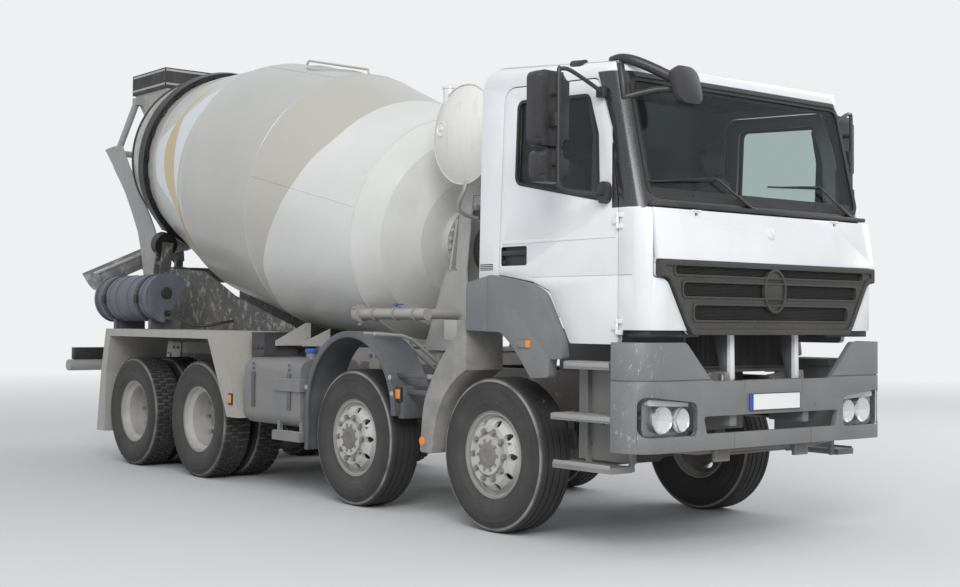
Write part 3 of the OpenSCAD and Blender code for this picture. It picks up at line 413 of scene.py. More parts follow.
frame_coat = coated("frame_paint", (0.17, 0.16, 0.155), 0.55, dusty=0.9, bump=0.3, crust=0.15)
subframe_coat = coated("subframe_paint", (0.42, 0.41, 0.39), 0.5, dusty=0.7, bump=0.25, crust=0.4)
bolt_steel = coated("bolt_steel", (0.30, 0.29, 0.28), 0.45, metal=0.6, dusty=0.6, bump=0.2)
wear(frame_coat, "frame_rails")
wear(subframe_coat, "subframe")

# Bolts of the tie plates and of the suspension brackets
steered_axles = (0.0, -1.70)
tie_plates = (-1.50, -2.50, -3.15, -4.847, -6.20)
bolt_row = repeated(row_tree, hex_bolt(0.027, 0.016, 0.019), bolt_steel, Count=2,
                    Step=(0.09, 0, 0), Rows=2, Row_Step=(0, 0.16, 0))
shape = bmesh.new()
for x in tie_plates:
    for side in (-1, 1):
        add_mesh(shape, bolt_row, board(at(x + 0.045 * side, side * 0.412, 0.985),
                                        (-side, 0, 0), (0, 0, 1)))
for x in steered_axles:
    for end in (-0.65, 0.65):
        for side in (-1, 1):
            add_mesh(shape, bolt_row, board(at(x + end + 0.045 * side, side * 0.415, 0.83),
                                            (-side, 0, 0), (0, 0, 1)))
finished("frame_bolts", shape, bolt_steel, body_of("frame_rails"))

# Engine, gearbox and shafts: castings that show from below and through the front arch.
# Grey cast iron with oil and road dirt, the radiator's fins ahead of them.


def add_box(shape, low, high, edge=0.003):
    """A box between two corners with its edges broken."""
    low, high = Vector(map(min, low, high)), Vector(map(max, low, high))
    place = Matrix.Translation((low + high) / 2) @ Matrix.Diagonal((*(high - low), 1))
    corners = bmesh.ops.create_cube(shape, size=1, matrix=place)["verts"]
    if edge:
        rims = list({e for v in corners for e in v.link_edges})
        bmesh.ops.bevel(shape, geom=rims, offset=edge, segments=2, affect="EDGES", profile=0.5)


engine_coat = coated("engine_casting", (0.13, 0.13, 0.13), 0.6, dusty=0.6, bump=0.5, grain=60)
fin_metal = coated("radiator_fins", (0.07, 0.07, 0.07), 0.5, metal=0.3, dusty=0.5)
wear(engine_coat, "driveline")
unit = bmesh.new()
add_box(unit, (0, 0, 0), (0.012, 0.003, 0.26), 0)
fins = repeated(row_tree, unit, fin_metal, Count=84, Step=(0, 0.012, 0), Rows=1,
                Row_Step=(0, 0, 0.1))
shape = bmesh.new()
add_mesh(shape, fins, Matrix.Translation(at(1.1805, -0.50, 1.15)))
for z in (1.148, 1.41):
    add_box(shape, at(1.1805, -0.515, z), at(1.20, 0.515, z + 0.014), 0.002)
finished("radiator_core", shape, fin_metal, body_of("driveline"))

# Axle beams, springs and steering knuckles: forged and cast steel, black once,
# caked with road dirt; the springs' leaves are held by bolted straps.


def skinned(shape, rings):
    """Faces from each ring of points to the next, and one over each end."""
    for a, b in zip(rings, rings[1:]):
        for k in range(len(a)):
            n = (k + 1) % len(a)
            shape.faces.new((a[k], a[n], b[n], b[k]))
    shape.faces.new(rings[0][::-1])
    shape.faces.new(rings[-1])


def add_tube(shape, points, radius, sides=12):
    """A round bar bent along points, closed at both ends."""
    points = [Vector(p) for p in points]
    rings = []
    across = None
    for i, p in enumerate(points):
        ahead = (points[min(i + 1, len(points) - 1)] - points[max(i - 1, 0)]).normalized()
        if across is None:
            across = ahead.orthogonal().normalized()
        across = (across - ahead * across.dot(ahead)).normalized()
        third = ahead.cross(across)
        rings.append([shape.verts.new(p + radius * (math.cos(t) * across + math.sin(t) * third))
                      for t in [k * math.tau / sides for k in range(sides)]])
    skinned(shape, rings)


casting_coat = coated("axle_casting", (0.05, 0.05, 0.05), 0.6, dusty=0.9, bump=0.5, grain=60)
wear(casting_coat, "axle_beams", "knuckle_1_right", "knuckle_1_left", "knuckle_2_right",
     "knuckle_2_left")
shape = bmesh.new()
for x in steered_axles:
    for side in (-1, 1):
        for dx in (-0.05, 0.05):
            for dy in (-0.045, 0.045):
                y = side * 0.38 + dy
                add_tube(shape, [at(x + dx, y, 0.50), at(x + dx, y, 0.66)], 0.010, 8)
finished("spring_straps", shape, casting_coat, body_of("axle_beams"))

# Tyres: black rubber on the rims, ribbed treads in front and lugged ones behind. Their
# shoulders are scuffed pale and dust sits in the lettering-free side walls.


def add_lathe(shape, profile, place, sides=48):
    """A profile of (along, radius) turned round its place's third direction."""
    reach = shape.verts.layers.float.get("reach") or shape.verts.layers.float.new("reach")
    rings = []
    for along, radius in profile:
        count = 1 if radius < 1e-6 else sides
        ring = [shape.verts.new(place @ Vector((radius * math.cos(k * math.tau / sides),
                                                radius * math.sin(k * math.tau / sides), along)))
                for k in range(count)]
        for v in ring:
            v[reach] = radius
        rings.append(ring)
    closed = profile[0][1] > 1e-6 and profile[-1][1] > 1e-6
    pairs = list(zip(rings, rings[1:])) + ([(rings[-1], rings[0])] if closed else [])
    for a, b in pairs:
        for k in range(sides):
            n = (k + 1) % sides
            corner = [a[k % len(a)], a[n % len(a)], b[n % len(b)], b[k % len(b)]]
            kept = [v for i, v in enumerate(corner) if v not in corner[:i]]
            if len(kept) > 2:
                shape.faces.new(kept)


tyre_radius = 0.532
front_track = 1.030
twin_track = 0.905
twin_half = 0.176
axles = {"1": 0.0, "2": -1.70, "3": -4.172, "4": -5.522}
wall_side = [(0.290, 0.110), (0.298, 0.1125), (0.304, 0.1195), (0.312, 0.1205), (0.330, 0.1275),
             (0.352, 0.1375), (0.356, 0.1405), (0.361, 0.1400), (0.380, 0.1455), (0.402, 0.1490),
             (0.432, 0.1478), (0.452, 0.1450), (0.456, 0.1466), (0.462, 0.1460), (0.466, 0.1432),
             (0.487, 0.1380)]
rib_shoulder = [(0.503, 0.1340), (0.515, 0.1298), (0.522, 0.1255), (0.528, 0.1180),
                (0.532, 0.1060)]
lug_shoulder = [(0.503, 0.1335), (0.511, 0.1290), (0.5165, 0.1180), (0.5175, 0.1000)]
grooves = [0.080, 0.029]
cavity = [(0.310, 0.0800), (0.492, 0.0900)]


def tyre_rubber(name, scuff):
    """Rubber whose shoulder line is rubbed pale and whose side wall is dusty."""
    material = bpy.data.materials.new(name)
    tree, shader, place, _ = shader_steps(material)
    reach = tree.nodes.new("ShaderNodeAttribute")
    reach.attribute_name = "reach"
    radius = reach.outputs["Fac"]
    large = cloud(tree, place, 5)
    fine = cloud(tree, place, 120, 4)
    rings = tree.nodes.new("ShaderNodeMath")
    rings.operation = "SINE"
    tree.links.new(combine(tree, "MULTIPLY", radius, 900, False), rings.inputs[0])
    line = combine(tree, "MULTIPLY", spread(tree, radius, 0.499, 0.505),
                   spread(tree, radius, 0.524, 0.511))
    line = combine(tree, "MULTIPLY", line, spread(tree, large, 0.35, 0.55, 0.35, 1.0))
    wall = combine(tree, "MULTIPLY", spread(tree, radius, 0.50, 0.36, 0.15, 0.55),
                   spread(tree, large, 0.3, 0.7, 0.4, 1.0))
    tone = blend_colour(tree, combine(tree, "ADD", wall, spread(tree, fine, 0.45, 0.8, 0, 0.2)),
                        (0.017, 0.017, 0.018), (0.105, 0.098, 0.090))
    tone = blend_colour(tree, combine(tree, "MULTIPLY", line, scuff), tone, (0.34, 0.32, 0.30))
    tree.links.new(tone, shader.inputs["Base Color"])
    shader.inputs["Roughness"].default_value = 0.72
    bumped(tree, shader, combine(tree, "ADD", combine(tree, "MULTIPLY", fine, 0.6),
                                 combine(tree, "MULTIPLY", rings.outputs[0], 0.25)), 0.35)
    return material


front_rubber = tyre_rubber("rubber_ribbed", 0.75)
rear_rubber = tyre_rubber("rubber_lugged", 0.55)


def tyre_profile(shoulder, tread):
    """Closed outline of a tyre as (along the axle, radius)."""
    half = [(y, r) for r, y in wall_side + shoulder]
    middle = []
    if tread == "ribbed":
        for y in grooves:
            middle += [(y + 0.0055, 0.532), (y + 0.004, 0.523), (y - 0.004, 0.523),
                       (y - 0.0055, 0.532)]
    outer = half + middle
    inner = [(y, r) for r, y in cavity]
    return (outer + [(-y, r) for y, r in reversed(outer)]
            + [(-y, r) for y, r in inner] + [(y, r) for y, r in reversed(inner)])


# Ring of copies: nuts, bolts and tread lugs round an axis
ring_tree, given, ending = tree_of("ring_of_copies", ("Unit", "Object"), ("Count", "Int"),
                                   ("Radius", "Float"), ("Finish", "Material"))
circle = ring_tree.nodes.new("GeometryNodeMeshCircle")
ring_tree.links.new(given.outputs["Count"], circle.inputs["Vertices"])
ring_tree.links.new(given.outputs["Radius"], circle.inputs["Radius"])
index = ring_tree.nodes.new("GeometryNodeInputIndex")
part_turn = ring_tree.nodes.new("ShaderNodeMath")
part_turn.operation = "DIVIDE"
part_turn.inputs[0].default_value = math.tau
ring_tree.links.new(given.outputs["Count"], part_turn.inputs[1])
own_turn = ring_tree.nodes.new("ShaderNodeMath")
own_turn.operation = "MULTIPLY"
ring_tree.links.new(index.outputs[0], own_turn.inputs[0])
ring_tree.links.new(part_turn.outputs[0], own_turn.inputs[1])
about_axis = ring_tree.nodes.new("ShaderNodeCombineXYZ")
ring_tree.links.new(own_turn.outputs[0], about_axis.inputs["Z"])
close_tree(ring_tree, given, ending,
           placed_copies(ring_tree, given, circle.outputs["Mesh"], about_axis.outputs[0]))

unit = bmesh.new()
add_box(unit, (-0.004, -0.022, 0.062), (0.0135, 0.022, 0.121), 0.005)
shoulder_lugs = repeated(ring_tree, unit, rear_rubber, Count=50, Radius=0.518)
unit = bmesh.new()
add_box(unit, (-0.004, -0.024, -0.026), (0.0135, 0.020, 0.024), 0.004)
middle_lugs = repeated(ring_tree, unit, rear_rubber, Count=50, Radius=0.518)

for axle, x in axles.items():
    for side, sign in (("right", -1), ("left", 1)):
        shape = bmesh.new()
        front = axle in "12"
        tracks = [front_track] if front else [twin_track - twin_half, twin_track + twin_half]
        for track in tracks:
            place = board(at(x, sign * track, tyre_radius), (1, 0, 0), (0, 0, 1))
            if front:
                add_lathe(shape, tyre_profile(rib_shoulder, "ribbed"), place, 112)
                continue
            add_lathe(shape, tyre_profile(lug_shoulder, "plain"), place, 112)
            for flip in (0, math.pi):
                turned = place @ Matrix.Rotation(flip, 4, "X")
                add_mesh(shape, shoulder_lugs, turned)
            for y, turn in ((0.030, 0.063), (-0.030, 0.0)):
                add_mesh(shape, middle_lugs, place @ Matrix.Rotation(turn, 4, "Z")
                         @ Matrix.Translation((0, 0, y)))
        reach = shape.verts.layers.float["reach"]
        hub_place = at(x, 0, tyre_radius)
        for v in shape.verts:
            v[reach] = math.hypot(v.co.x - hub_place.x, v.co.z - hub_place.z)
        label = f"tyre_{axle}_{side}" if front else f"tyres_{axle}_{side}"
        rubber_piece = finished("dressed_" + label, shape,
                                front_rubber if front else rear_rubber, body_of(label), 38)
        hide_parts(label)

# Rims: silver painted steel discs on ten studs, chalky with brake dust. The front ones
# bulge out, the twin ones lie deep, and the hub's end cover is bolted on.


def outward(sign, x, y, z):
    """A place on one side of the truck that faces away from it."""
    return board(at(x, sign * y, z), (sign, 0, 0), (0, 0, 1)) @ Matrix.Rotation(math.pi, 4, "X")


rim_coat = coated("rim_silver", (0.56, 0.56, 0.54), 0.42, metal=0.25, dust=(0.20, 0.18, 0.16),
                  dusty=0.75, bump=0.2, dust_top=1.1, dust_low=0.0, patch=6)
deep_rim_coat = coated("rim_pale", (0.47, 0.46, 0.43), 0.55, dust=(0.22, 0.20, 0.17), dusty=0.8,
                       bump=0.25, dust_top=1.1, dust_low=0.0, patch=6)
nut_metal = coated("wheel_nut", (0.33, 0.32, 0.31), 0.4, metal=0.7, dusty=0.6, bump=0.2,
                   dust_low=0.0)
hub_metal = coated("hub_cover", (0.20, 0.19, 0.18), 0.5, metal=0.3, dusty=0.8, bump=0.3,
                   dust_low=0.0)
wheel_nuts = repeated(ring_tree, hex_bolt(0.032, 0.024, 0.023), nut_metal, Count=10,
                      Radius=0.1675)
cover_bolts = repeated(ring_tree, hex_bolt(0.017, 0.009, 0.011), nut_metal, Count=10,
                       Radius=0.103)
for axle, x in axles.items():
    for side, sign in (("right", -1), ("left", 1)):
        front = axle in "12"
        label = f"rim_{axle}_{side}" if front else f"rims_{axle}_{side}"
        wear(rim_coat if front else deep_rim_coat, label)
        face = front_track + 0.150 if front else twin_track + 0.026
        hub_end = front_track + 0.165 if front else twin_track + 0.105
        hub_face = outward(sign, x, hub_end, tyre_radius)
        shape = bmesh.new()
        add_mesh(shape, wheel_nuts, outward(sign, x, face, tyre_radius))
        add_mesh(shape, cover_bolts, hub_face)
        # Valve stem and the locking ring of the rim's edge
        edge_y = (front_track if front else twin_track + twin_half) + 0.108
        add_lathe(shape, [(-0.006, 0.289), (0.002, 0.296), (0.007, 0.303), (0.010, 0.301),
                          (0.006, 0.291), (0.0, 0.283), (-0.010, 0.281)],
                  outward(sign, x, edge_y, tyre_radius), 72)
        valve_y = sign * (face - 0.02)
        add_tube(shape, [at(x + 0.205, valve_y, tyre_radius + 0.09),
                         at(x + 0.212, valve_y + sign * 0.035, tyre_radius + 0.095)], 0.006, 8)
        finished("studs_" + label, shape, nut_metal, body_of(label))
        shape = bmesh.new()
        reach_out = 0.012 if front else 0.030
        add_lathe(shape, [(0.0, 0.0), (0.0, 0.088), (reach_out * 0.5, 0.086),
                          (reach_out, 0.070), (reach_out, 0.040), (reach_out - 0.004, 0.036),
                          (reach_out - 0.004, 0.0)], hub_face, 40)
        finished("hub_cover_" + label, shape, hub_metal, body_of(label))

# Bumper: one moulded shell of grey plastic over a steel bar, dull and scuffed at the
# right ear, with a ribbed standing strip on top of its middle.


def rounded(corners, steps=5):
    """A closed outline from corners given as (u, v, radius)."""
    line = []
    for i, (u, v, r) in enumerate(corners):
        here = Vector((u, v))
        back = (Vector(corners[i - 1][:2]) - here).normalized()
        ahead = (Vector(corners[(i + 1) % len(corners)][:2]) - here).normalized()
        half = back.angle(ahead) / 2 if r else 0
        if not r:
            line.append((u, v))
            continue
        centre = here + (back + ahead).normalized() * r / math.sin(half)
        start = here + back * r / math.tan(half) - centre
        stop = here + ahead * r / math.tan(half) - centre
        turn = start.angle_signed(stop)
        for k in range(steps + 1):
            a = -turn * k / steps
            line.append((centre.x + start.x * math.cos(a) - start.y * math.sin(a),
                         centre.y + start.x * math.sin(a) + start.y * math.cos(a)))
    return line


def rounded_box(u1, v1, u2, v2, r, steps=5):
    """A closed rectangle with four equal round corners."""
    return rounded([(u1, v1, r), (u2, v1, r), (u2, v2, r), (u1, v2, r)], steps)


def side_line(table):
    """A side outline in millimetres from the first axle, rounded, in metres."""
    return rounded([(front_axle + x / 1000, z / 1000, r / 1000) for x, z, r in table])


def front_line(table):
    return rounded([(y / 1000, z / 1000, r / 1000) for y, z, r in table])


def mirrored_line(table):
    return [(-y, z, r) for y, z, r in reversed(table)]


def add_plate(shape, outline, thick, place):
    """An outline cut from sheet, standing on its place."""
    layers = [[shape.verts.new(place @ Vector((u, v, w))) for u, v in outline]
              for w in (0, thick)]
    shape.faces.new(layers[0][::-1])
    shape.faces.new(layers[1])
    for i in range(len(outline)):
        k = (i + 1) % len(outline)
        shape.faces.new((layers[0][i], layers[0][k], layers[1][k], layers[1][i]))


def solid(outline, thick, place):
    """A plate on its own, with its faces turned outward."""
    shape = bmesh.new()
    add_plate(shape, outline, thick, place)
    bmesh.ops.recalc_face_normals(shape, faces=shape.faces)
    return shape


def side_prism(outline, y1, y2):
    """A side outline as a solid between two places across the truck."""
    return solid(outline, abs(y2 - y1), board((0, max(y1, y2), 0), (1, 0, 0), (0, 0, 1)))


def front_prism(outline, x1, x2):
    """A front outline as a solid from x1 to x2."""
    return solid(outline, x2 - x1, board((front_axle + x1, 0, 0), (0, 1, 0), (0, 0, 1)))


def box_shape(low, high, edge=0.0):
    shape = bmesh.new()
    add_box(shape, low, high, edge)
    return shape


def carved(base, how, *tools):
    """The base with each tool cut off, joined on or kept in common, in turn."""
    things = []
    for shape in (base, *tools):
        mesh = bpy.data.meshes.new("work")
        shape.to_mesh(mesh)
        shape.free()
        things.append(link_new(mesh, "work"))
    for tool in things[1:]:
        step = things[0].modifiers.new("step", "BOOLEAN")
        step.solver = "EXACT"
        step.operation = how
        step.object = tool
    graph = bpy.context.evaluated_depsgraph_get()
    mesh = bpy.data.meshes.new_from_object(things[0].evaluated_get(graph), depsgraph=graph)
    result = bmesh.new()
    result.from_mesh(mesh)
    bpy.data.meshes.remove(mesh)
    for thing in things:
        bpy.data.objects.remove(thing)
    bmesh.ops.dissolve_degenerate(result, edges=result.edges, dist=1e-6)
    return result


def softened(piece, width, angle=40):
    """Breaks a finished piece's sharp edges."""
    step = piece.modifiers.new("edges", "BEVEL")
    step.width = width
    step.segments = 2
    step.limit_method = "ANGLE"
    step.angle_limit = math.radians(angle)
    step.use_clamp_overlap = True
    step.harden_normals = False
    graph = bpy.context.evaluated_depsgraph_get()
    mesh = bpy.data.meshes.new_from_object(piece.evaluated_get(graph), depsgraph=graph)
    piece.modifiers.clear()
    old = piece.data
    piece.data = mesh
    bpy.data.meshes.remove(old)
    mesh.shade_smooth()
    mesh.set_sharp_from_angle(angle=math.radians(38))


def scraped(tree, place, split, tone):
    """Pale scratches and chips on the right ear of the bumper."""
    drawn = tree.nodes.new("ShaderNodeMapping")
    drawn.inputs["Scale"].default_value = (1.0, 3.0, 0.8)
    drawn.inputs["Rotation"].default_value = (0.5, 0, 0)
    tree.links.new(place, drawn.inputs["Vector"])
    chips = spread(tree, cloud(tree, drawn.outputs[0], 22, 9, 0.8), 0.585, 0.63)
    zone = combine(tree, "MULTIPLY", spread(tree, split.outputs["Y"], -0.93, -1.08),
                   spread(tree, cloud(tree, place, 3.1, 3), 0.42, 0.58))
    mask = combine(tree, "MULTIPLY", combine(tree, "MULTIPLY", chips, zone), 0.85)
    return blend_colour(tree, mask, tone, (0.52, 0.52, 0.51))


bumper_coat = coated("bumper_grey", (0.165, 0.17, 0.175), 0.42, dusty=0.4, bump=0.14,
                     overlay=scraped)
bumper_front = 1.500
bumper_half = 1.250


def bumper_plan(inset, back=1.250):
    """The bumper seen from above, drawn in by the inset."""
    y, r = bumper_half - inset, 0.170 - inset
    return rounded([(back, -y, 0), (bumper_front - inset, -y, r), (bumper_front - inset, y, r),
                    (back, y, 0)], 9)


def bumper_ring(low, top, inset, thick):
    """The bumper's shell between two heights."""
    up = [board(at(0, 0, z), (1, 0, 0), (0, 1, 0)) for z in (low, low - 0.02)]
    return carved(solid(bumper_plan(inset), top - low, up[0]), "DIFFERENCE",
                  solid(bumper_plan(inset + thick, 1.200), top - low + 0.04, up[1]))


def lamp_line(gap):
    return [(735 + gap, 745 + gap, 40), (1210 - gap, 745 + gap, 60), (1210 - gap, 1000 - gap, 50),
            (735 + gap, 950 - gap, 50)]


middle = front_line([(-900, 1400, 0), (-900, 1325, 0), (-840, 1325, 55), (-600, 1080, 90),
                     (600, 1080, 90), (840, 1325, 55), (900, 1325, 0), (900, 1400, 0)])
crease = carved(bumper_ring(1.086, 1.095, -0.001, 0.009), "DIFFERENCE",
                box_shape(at(1.20, -0.600, 1.07), at(1.60, 0.600, 1.11)))
cuts = [front_prism(middle, 1.200, 1.600), crease,
        front_prism(front_line([(-650, 752, 20), (650, 752, 20), (680, 862, 20),
                                (-680, 862, 20)]), 1.310, 1.600)]
for sign in (-1, 1):
    line = lamp_line(0) if sign > 0 else mirrored_line(lamp_line(0))
    cuts.append(front_prism(front_line(line), 1.310, 1.600))
    cuts.append(box_shape(at(1.494, sign * 0.288, 1.000), at(1.52, sign * 0.293, 1.100)))
    cuts.append(box_shape(at(1.494, sign * 0.384, 0.630), at(1.52, sign * 0.389, 0.760)))
shell = carved(bumper_ring(0.650, 1.325, 0.0, 0.040), "DIFFERENCE", *cuts)
for sign in (-1, 1):
    add_box(shell, at(1.180, sign * 0.335, 0.790), at(1.470, sign * 0.398, 0.870), 0.003)
    add_box(shell, at(1.380, sign * 0.330, 0.560), at(1.410, sign * 0.470, 0.710), 0.003)
add_box(shell, at(1.375, -0.470, 0.670), at(1.470, 0.470, 0.710), 0.003)
add_box(shell, at(1.495, -0.265, 0.880), at(1.506, 0.265, 1.000), 0.002)
bumper_piece = finished("bumper_moulding", shell, bumper_coat, body_of("bumper"), 30)
softened(bumper_piece, 0.009, 50)
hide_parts("bumper")
shape = bmesh.new()
unit = bmesh.new()
add_box(unit, (0, 0, 0), (0.030, 0.006, 0.004), 0.0015)
tread_ribs = repeated(row_tree, unit, bumper_coat, Count=1, Step=(0.05, 0, 0), Rows=46,
                      Row_Step=(0, 0.012, 0))
add_mesh(shape, tread_ribs, Matrix.Translation(at(1.463, -0.275, 1.0797)))
for y in (-0.46, 0.46):
    add_plate(shape, rounded_box(-0.03, -0.012, 0.03, 0.012, 0.005), 0.003,
              facing(1.5, y, 0.905))
finished("bumper_tread", shape, bumper_coat, body_of("bumper"))

# Number plate: blank pressed sheet with a blue strip and a black edge, screwed on the flat
# in the middle of the bumper; towing brackets and bars hang below it.


def add_band(shape, outer, inner, thick, place):
    """A closed strip between two outlines of the same number of points."""
    rings = [[shape.verts.new(place @ Vector((u, v, w))) for u, v in loop]
             for loop, w in ((outer, 0), (outer, thick), (inner, thick), (inner, 0))]
    count = len(outer)
    for a, b in zip(rings, rings[1:] + rings[:1]):
        for i in range(count):
            k = (i + 1) % count
            shape.faces.new((a[i], a[k], b[k], b[i]))


plate_white = coated("plate_white", (0.80, 0.80, 0.78), 0.35, dusty=0.12, bump=0.03)
plate_blue = coated("plate_strip", (0.02, 0.07, 0.40), 0.35, dusty=0.12, bump=0.03)
plate_edge = coated("plate_edge", (0.02, 0.02, 0.02), 0.35, dusty=0.12)
plate_place = facing(1.5062, 0, 0.94)


def plate_outline(y, z, r):
    return rounded_box(-y, -z, y, z, r)


shape = bmesh.new()
add_plate(shape, plate_outline(0.258, 0.053, 0.008), 0.003, plate_place)
finished("number_plate", shape, plate_white, body_of("bumper"))
shape = bmesh.new()
add_band(shape, plate_outline(0.260, 0.055, 0.010), plate_outline(0.2555, 0.0505, 0.006), 0.0042,
         plate_place)
finished("number_plate_edge", shape, plate_edge, body_of("bumper"))
shape = bmesh.new()
add_plate(shape, rounded([(-0.2555, -0.0505, 0.005), (-0.216, -0.0505, 0), (-0.216, 0.0505, 0),
                          (-0.2555, 0.0505, 0.005)]), 0.0036, plate_place)
finished("number_plate_strip", shape, plate_blue, body_of("bumper"))

tow_steel = coated("tow_steel", (0.16, 0.15, 0.14), 0.5, metal=0.4, dusty=0.8, bump=0.4)
shape = bmesh.new()
bracket_bolts = repeated(row_tree, hex_bolt(0.022, 0.014, 0.016), tow_steel, Count=2,
                         Step=(0.07, 0, 0), Rows=1, Row_Step=(0, 0.1, 0))
for y in (-0.40, 0.40):
    add_mesh(shape, bracket_bolts, facing(1.41, y - 0.035, 0.655))
    add_box(shape, at(1.392, y - 0.052, 0.575), at(1.412, y + 0.052, 0.70), 0.004)
add_tube(shape, [at(1.35, -0.95, 0.665), at(1.36, -0.6, 0.63), at(1.36, 0.6, 0.63),
                 at(1.35, 0.95, 0.665)], 0.021, 14)
add_tube(shape, [at(1.34, -0.30, 0.60), at(1.345, 0.30, 0.605)], 0.012, 10)
finished("towing_gear", shape, tow_steel, body_of("bumper"))

# Headlamps: a clear cover over a bright bowl with two round reflectors and an indicator
# strip along the top; the lamp boxes at the rear carry red and amber lenses.


def join(shape, other, place=None):
    """Takes a whole form into a shape, put in its place."""
    if place is not None:
        other.transform(place)
    part = bpy.data.meshes.new("part")
    other.to_mesh(part)
    other.free()
    shape.from_mesh(part)
    bpy.data.meshes.remove(part)


lamp_clear = bpy.data.materials.new("lamp_cover")
tree, shader, place, split = shader_steps(lamp_clear)
shader.inputs["Base Color"].default_value = (0.96, 0.97, 0.98, 1)
shader.inputs["Transmission Weight"].default_value = 1.0
shader.inputs["IOR"].default_value = 1.08
tree.links.new(spread(tree, cloud(tree, place, 30), 0.3, 0.8, 0.02, 0.10),
               shader.inputs["Roughness"])
lamp_chrome = coated("lamp_reflector", (0.82, 0.82, 0.82), 0.12, metal=0.9, dusty=0.05,
                     bump=0.02)
lamp_bowl = coated("lamp_bowl", (0.30, 0.31, 0.32), 0.25, metal=0.6, dusty=0.1, bump=0.05)
lamp_frost = coated("lamp_indicator", (0.62, 0.62, 0.58), 0.25, dusty=0.1, bump=0.3, grain=160)
lens_amber = coated("lens_amber", (0.72, 0.20, 0.02), 0.22, dusty=0.2, bump=0.2, grain=150)
lens_red = coated("lens_red", (0.40, 0.015, 0.012), 0.22, dusty=0.3, bump=0.2, grain=150)

covers = bmesh.new()
for sign in (-1, 1):
    line = lamp_line(1) if sign > 0 else mirrored_line(lamp_line(1))
    cover = carved(front_prism(front_line(line), 1.200, 1.600), "INTERSECT",
                   bumper_ring(0.650, 1.325, 0.006, 0.010))
    join(covers, cover)
cover_piece = finished("headlamp_covers", covers, lamp_clear, body_of("lamps"))
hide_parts("lamps")
bowl = bmesh.new()
chrome = bmesh.new()
frost = bmesh.new()
for sign in (-1, 1):
    place = board(at(1.415, 0, 0), (0, sign, 0), (0, 0, 1))
    outline = rounded([(0.730, 0.740, 0.04), (1.150, 0.740, 0.05), (1.150, 1.005, 0.05),
                       (0.730, 0.955, 0.05)])
    add_plate(bowl, outline, 0.004 * sign, place)
    for y, z, r in ((0.845, 0.845, 0.072), (1.010, 0.850, 0.080)):
        eye_of_lamp = facing(1.415, sign * y, z)
        add_lathe(chrome, [(0.006, 0.0), (0.010, 0.018), (0.016, 0.030), (0.030, r * 0.8),
                           (0.040, r), (0.044, r + 0.004), (0.040, r + 0.006), (0.004, r * 0.9),
                           (0.0, 0.0)], eye_of_lamp, 40)
    strip = rounded([(0.750, 0.925, 0.012), (1.130, 0.940, 0.012), (1.130, 0.978, 0.015),
                     (0.775, 0.950, 0.010)])
    add_plate(frost, strip, 0.035 * sign, place)
finished("headlamp_bowls", bowl, lamp_bowl, body_of("lamps"))
finished("headlamp_reflectors", chrome, lamp_chrome, body_of("lamps"))
finished("headlamp_indicators", frost, lamp_frost, body_of("lamps"))
tail = bmesh.new()
tail_lens = {"red": bmesh.new(), "amber": bmesh.new()}
for sign in (-1, 1):
    add_box(tail, at(-7.205, sign * 0.720, 1.0003), at(-7.13, sign * 1.150, 1.13), 0.008)
    for kind, y1, y2 in (("amber", 1.03, 1.14), ("red", 0.86, 1.02), ("red", 0.73, 0.85)):
        add_box(tail_lens[kind], at(-7.220, sign * y1, 1.012), at(-7.204, sign * y2, 1.118), 0.006)
finished("tail_lamp_boxes", tail, plate_edge, body_of("lamps"))
finished("tail_lenses_red", tail_lens["red"], lens_red, body_of("lamps"))
finished("tail_lenses_amber", tail_lens["amber"], lens_amber, body_of("lamps"))

# Entry steps: grey moulded panels round pressed treads with studs against slipping,
# the lowest one hung from a rubber-jointed stay. Worn bright on the treads.
step_coat = coated("step_plastic", (0.175, 0.18, 0.185), 0.45, dusty=0.8, bump=0.25)
tread_metal = coated("step_tread", (0.40, 0.40, 0.39), 0.4, metal=0.5, dusty=0.6, bump=0.3)
wear(step_coat, "steps")
unit = bmesh.new()
bmesh.ops.create_cone(unit, cap_ends=True, segments=10, radius1=0.0085, radius2=0.005,
                      depth=0.004, matrix=Matrix.Translation((0, 0, 0.0018)))
studs = {}
for count in (19, 25, 24):
    studs[count] = repeated(row_tree, unit.copy(), tread_metal, Count=count,
                            Step=(0.021, 0, 0), Rows=7, Row_Step=(0, 0.021, 0))
unit.free()
shape = bmesh.new()
for sign in (-1, 1):
    for x, y, z, count in ((0.805, 1.082, 1.196, 19), (0.690, 1.078, 0.860, 25),
                           (0.712, 1.052, 0.534, 24)):
        y_low = y if sign > 0 else -y - 0.126
        add_box(shape, at(x - 0.012, y_low - 0.012, z), at(x + count * 0.021 - 0.004,
                                                            y_low + 0.138, z + 0.0015), 0)
        add_mesh(shape, studs[count], Matrix.Translation(at(x, y_low, z + 0.001)))
    # Bright worn nose of each tread
    for x1, x2, z in ((0.795, 1.204, 1.175), (0.672, 1.221, 0.842), (0.70, 1.22, 0.545)):
        add_box(shape, at(x1, sign * 1.2185, z - 0.009), at(x2, sign * 1.2215, z + 0.018), 0.001)
finished("step_treads", shape, tread_metal, body_of("steps"))
shape = bmesh.new()
for sign in (-1, 1):
    for x, z in ((0.60, 0.93), (0.92, 0.82), (1.16, 0.82), (1.05, 0.69)):
        add_lathe(shape, screw_head(0.011), outward(sign, x, 1.2155, z), 14)
finished("step_fixings", shape, plate_edge, body_of("steps"))

# Fenders of the steered wheels: black-grey moulded plastic on bent tube brackets, the
# first closed by an outer face, the second a half arch with a rolled lip.
galvanised = coated("galvanised", (0.42, 0.43, 0.43), 0.45, metal=0.3, dusty=0.4, bump=0.2)


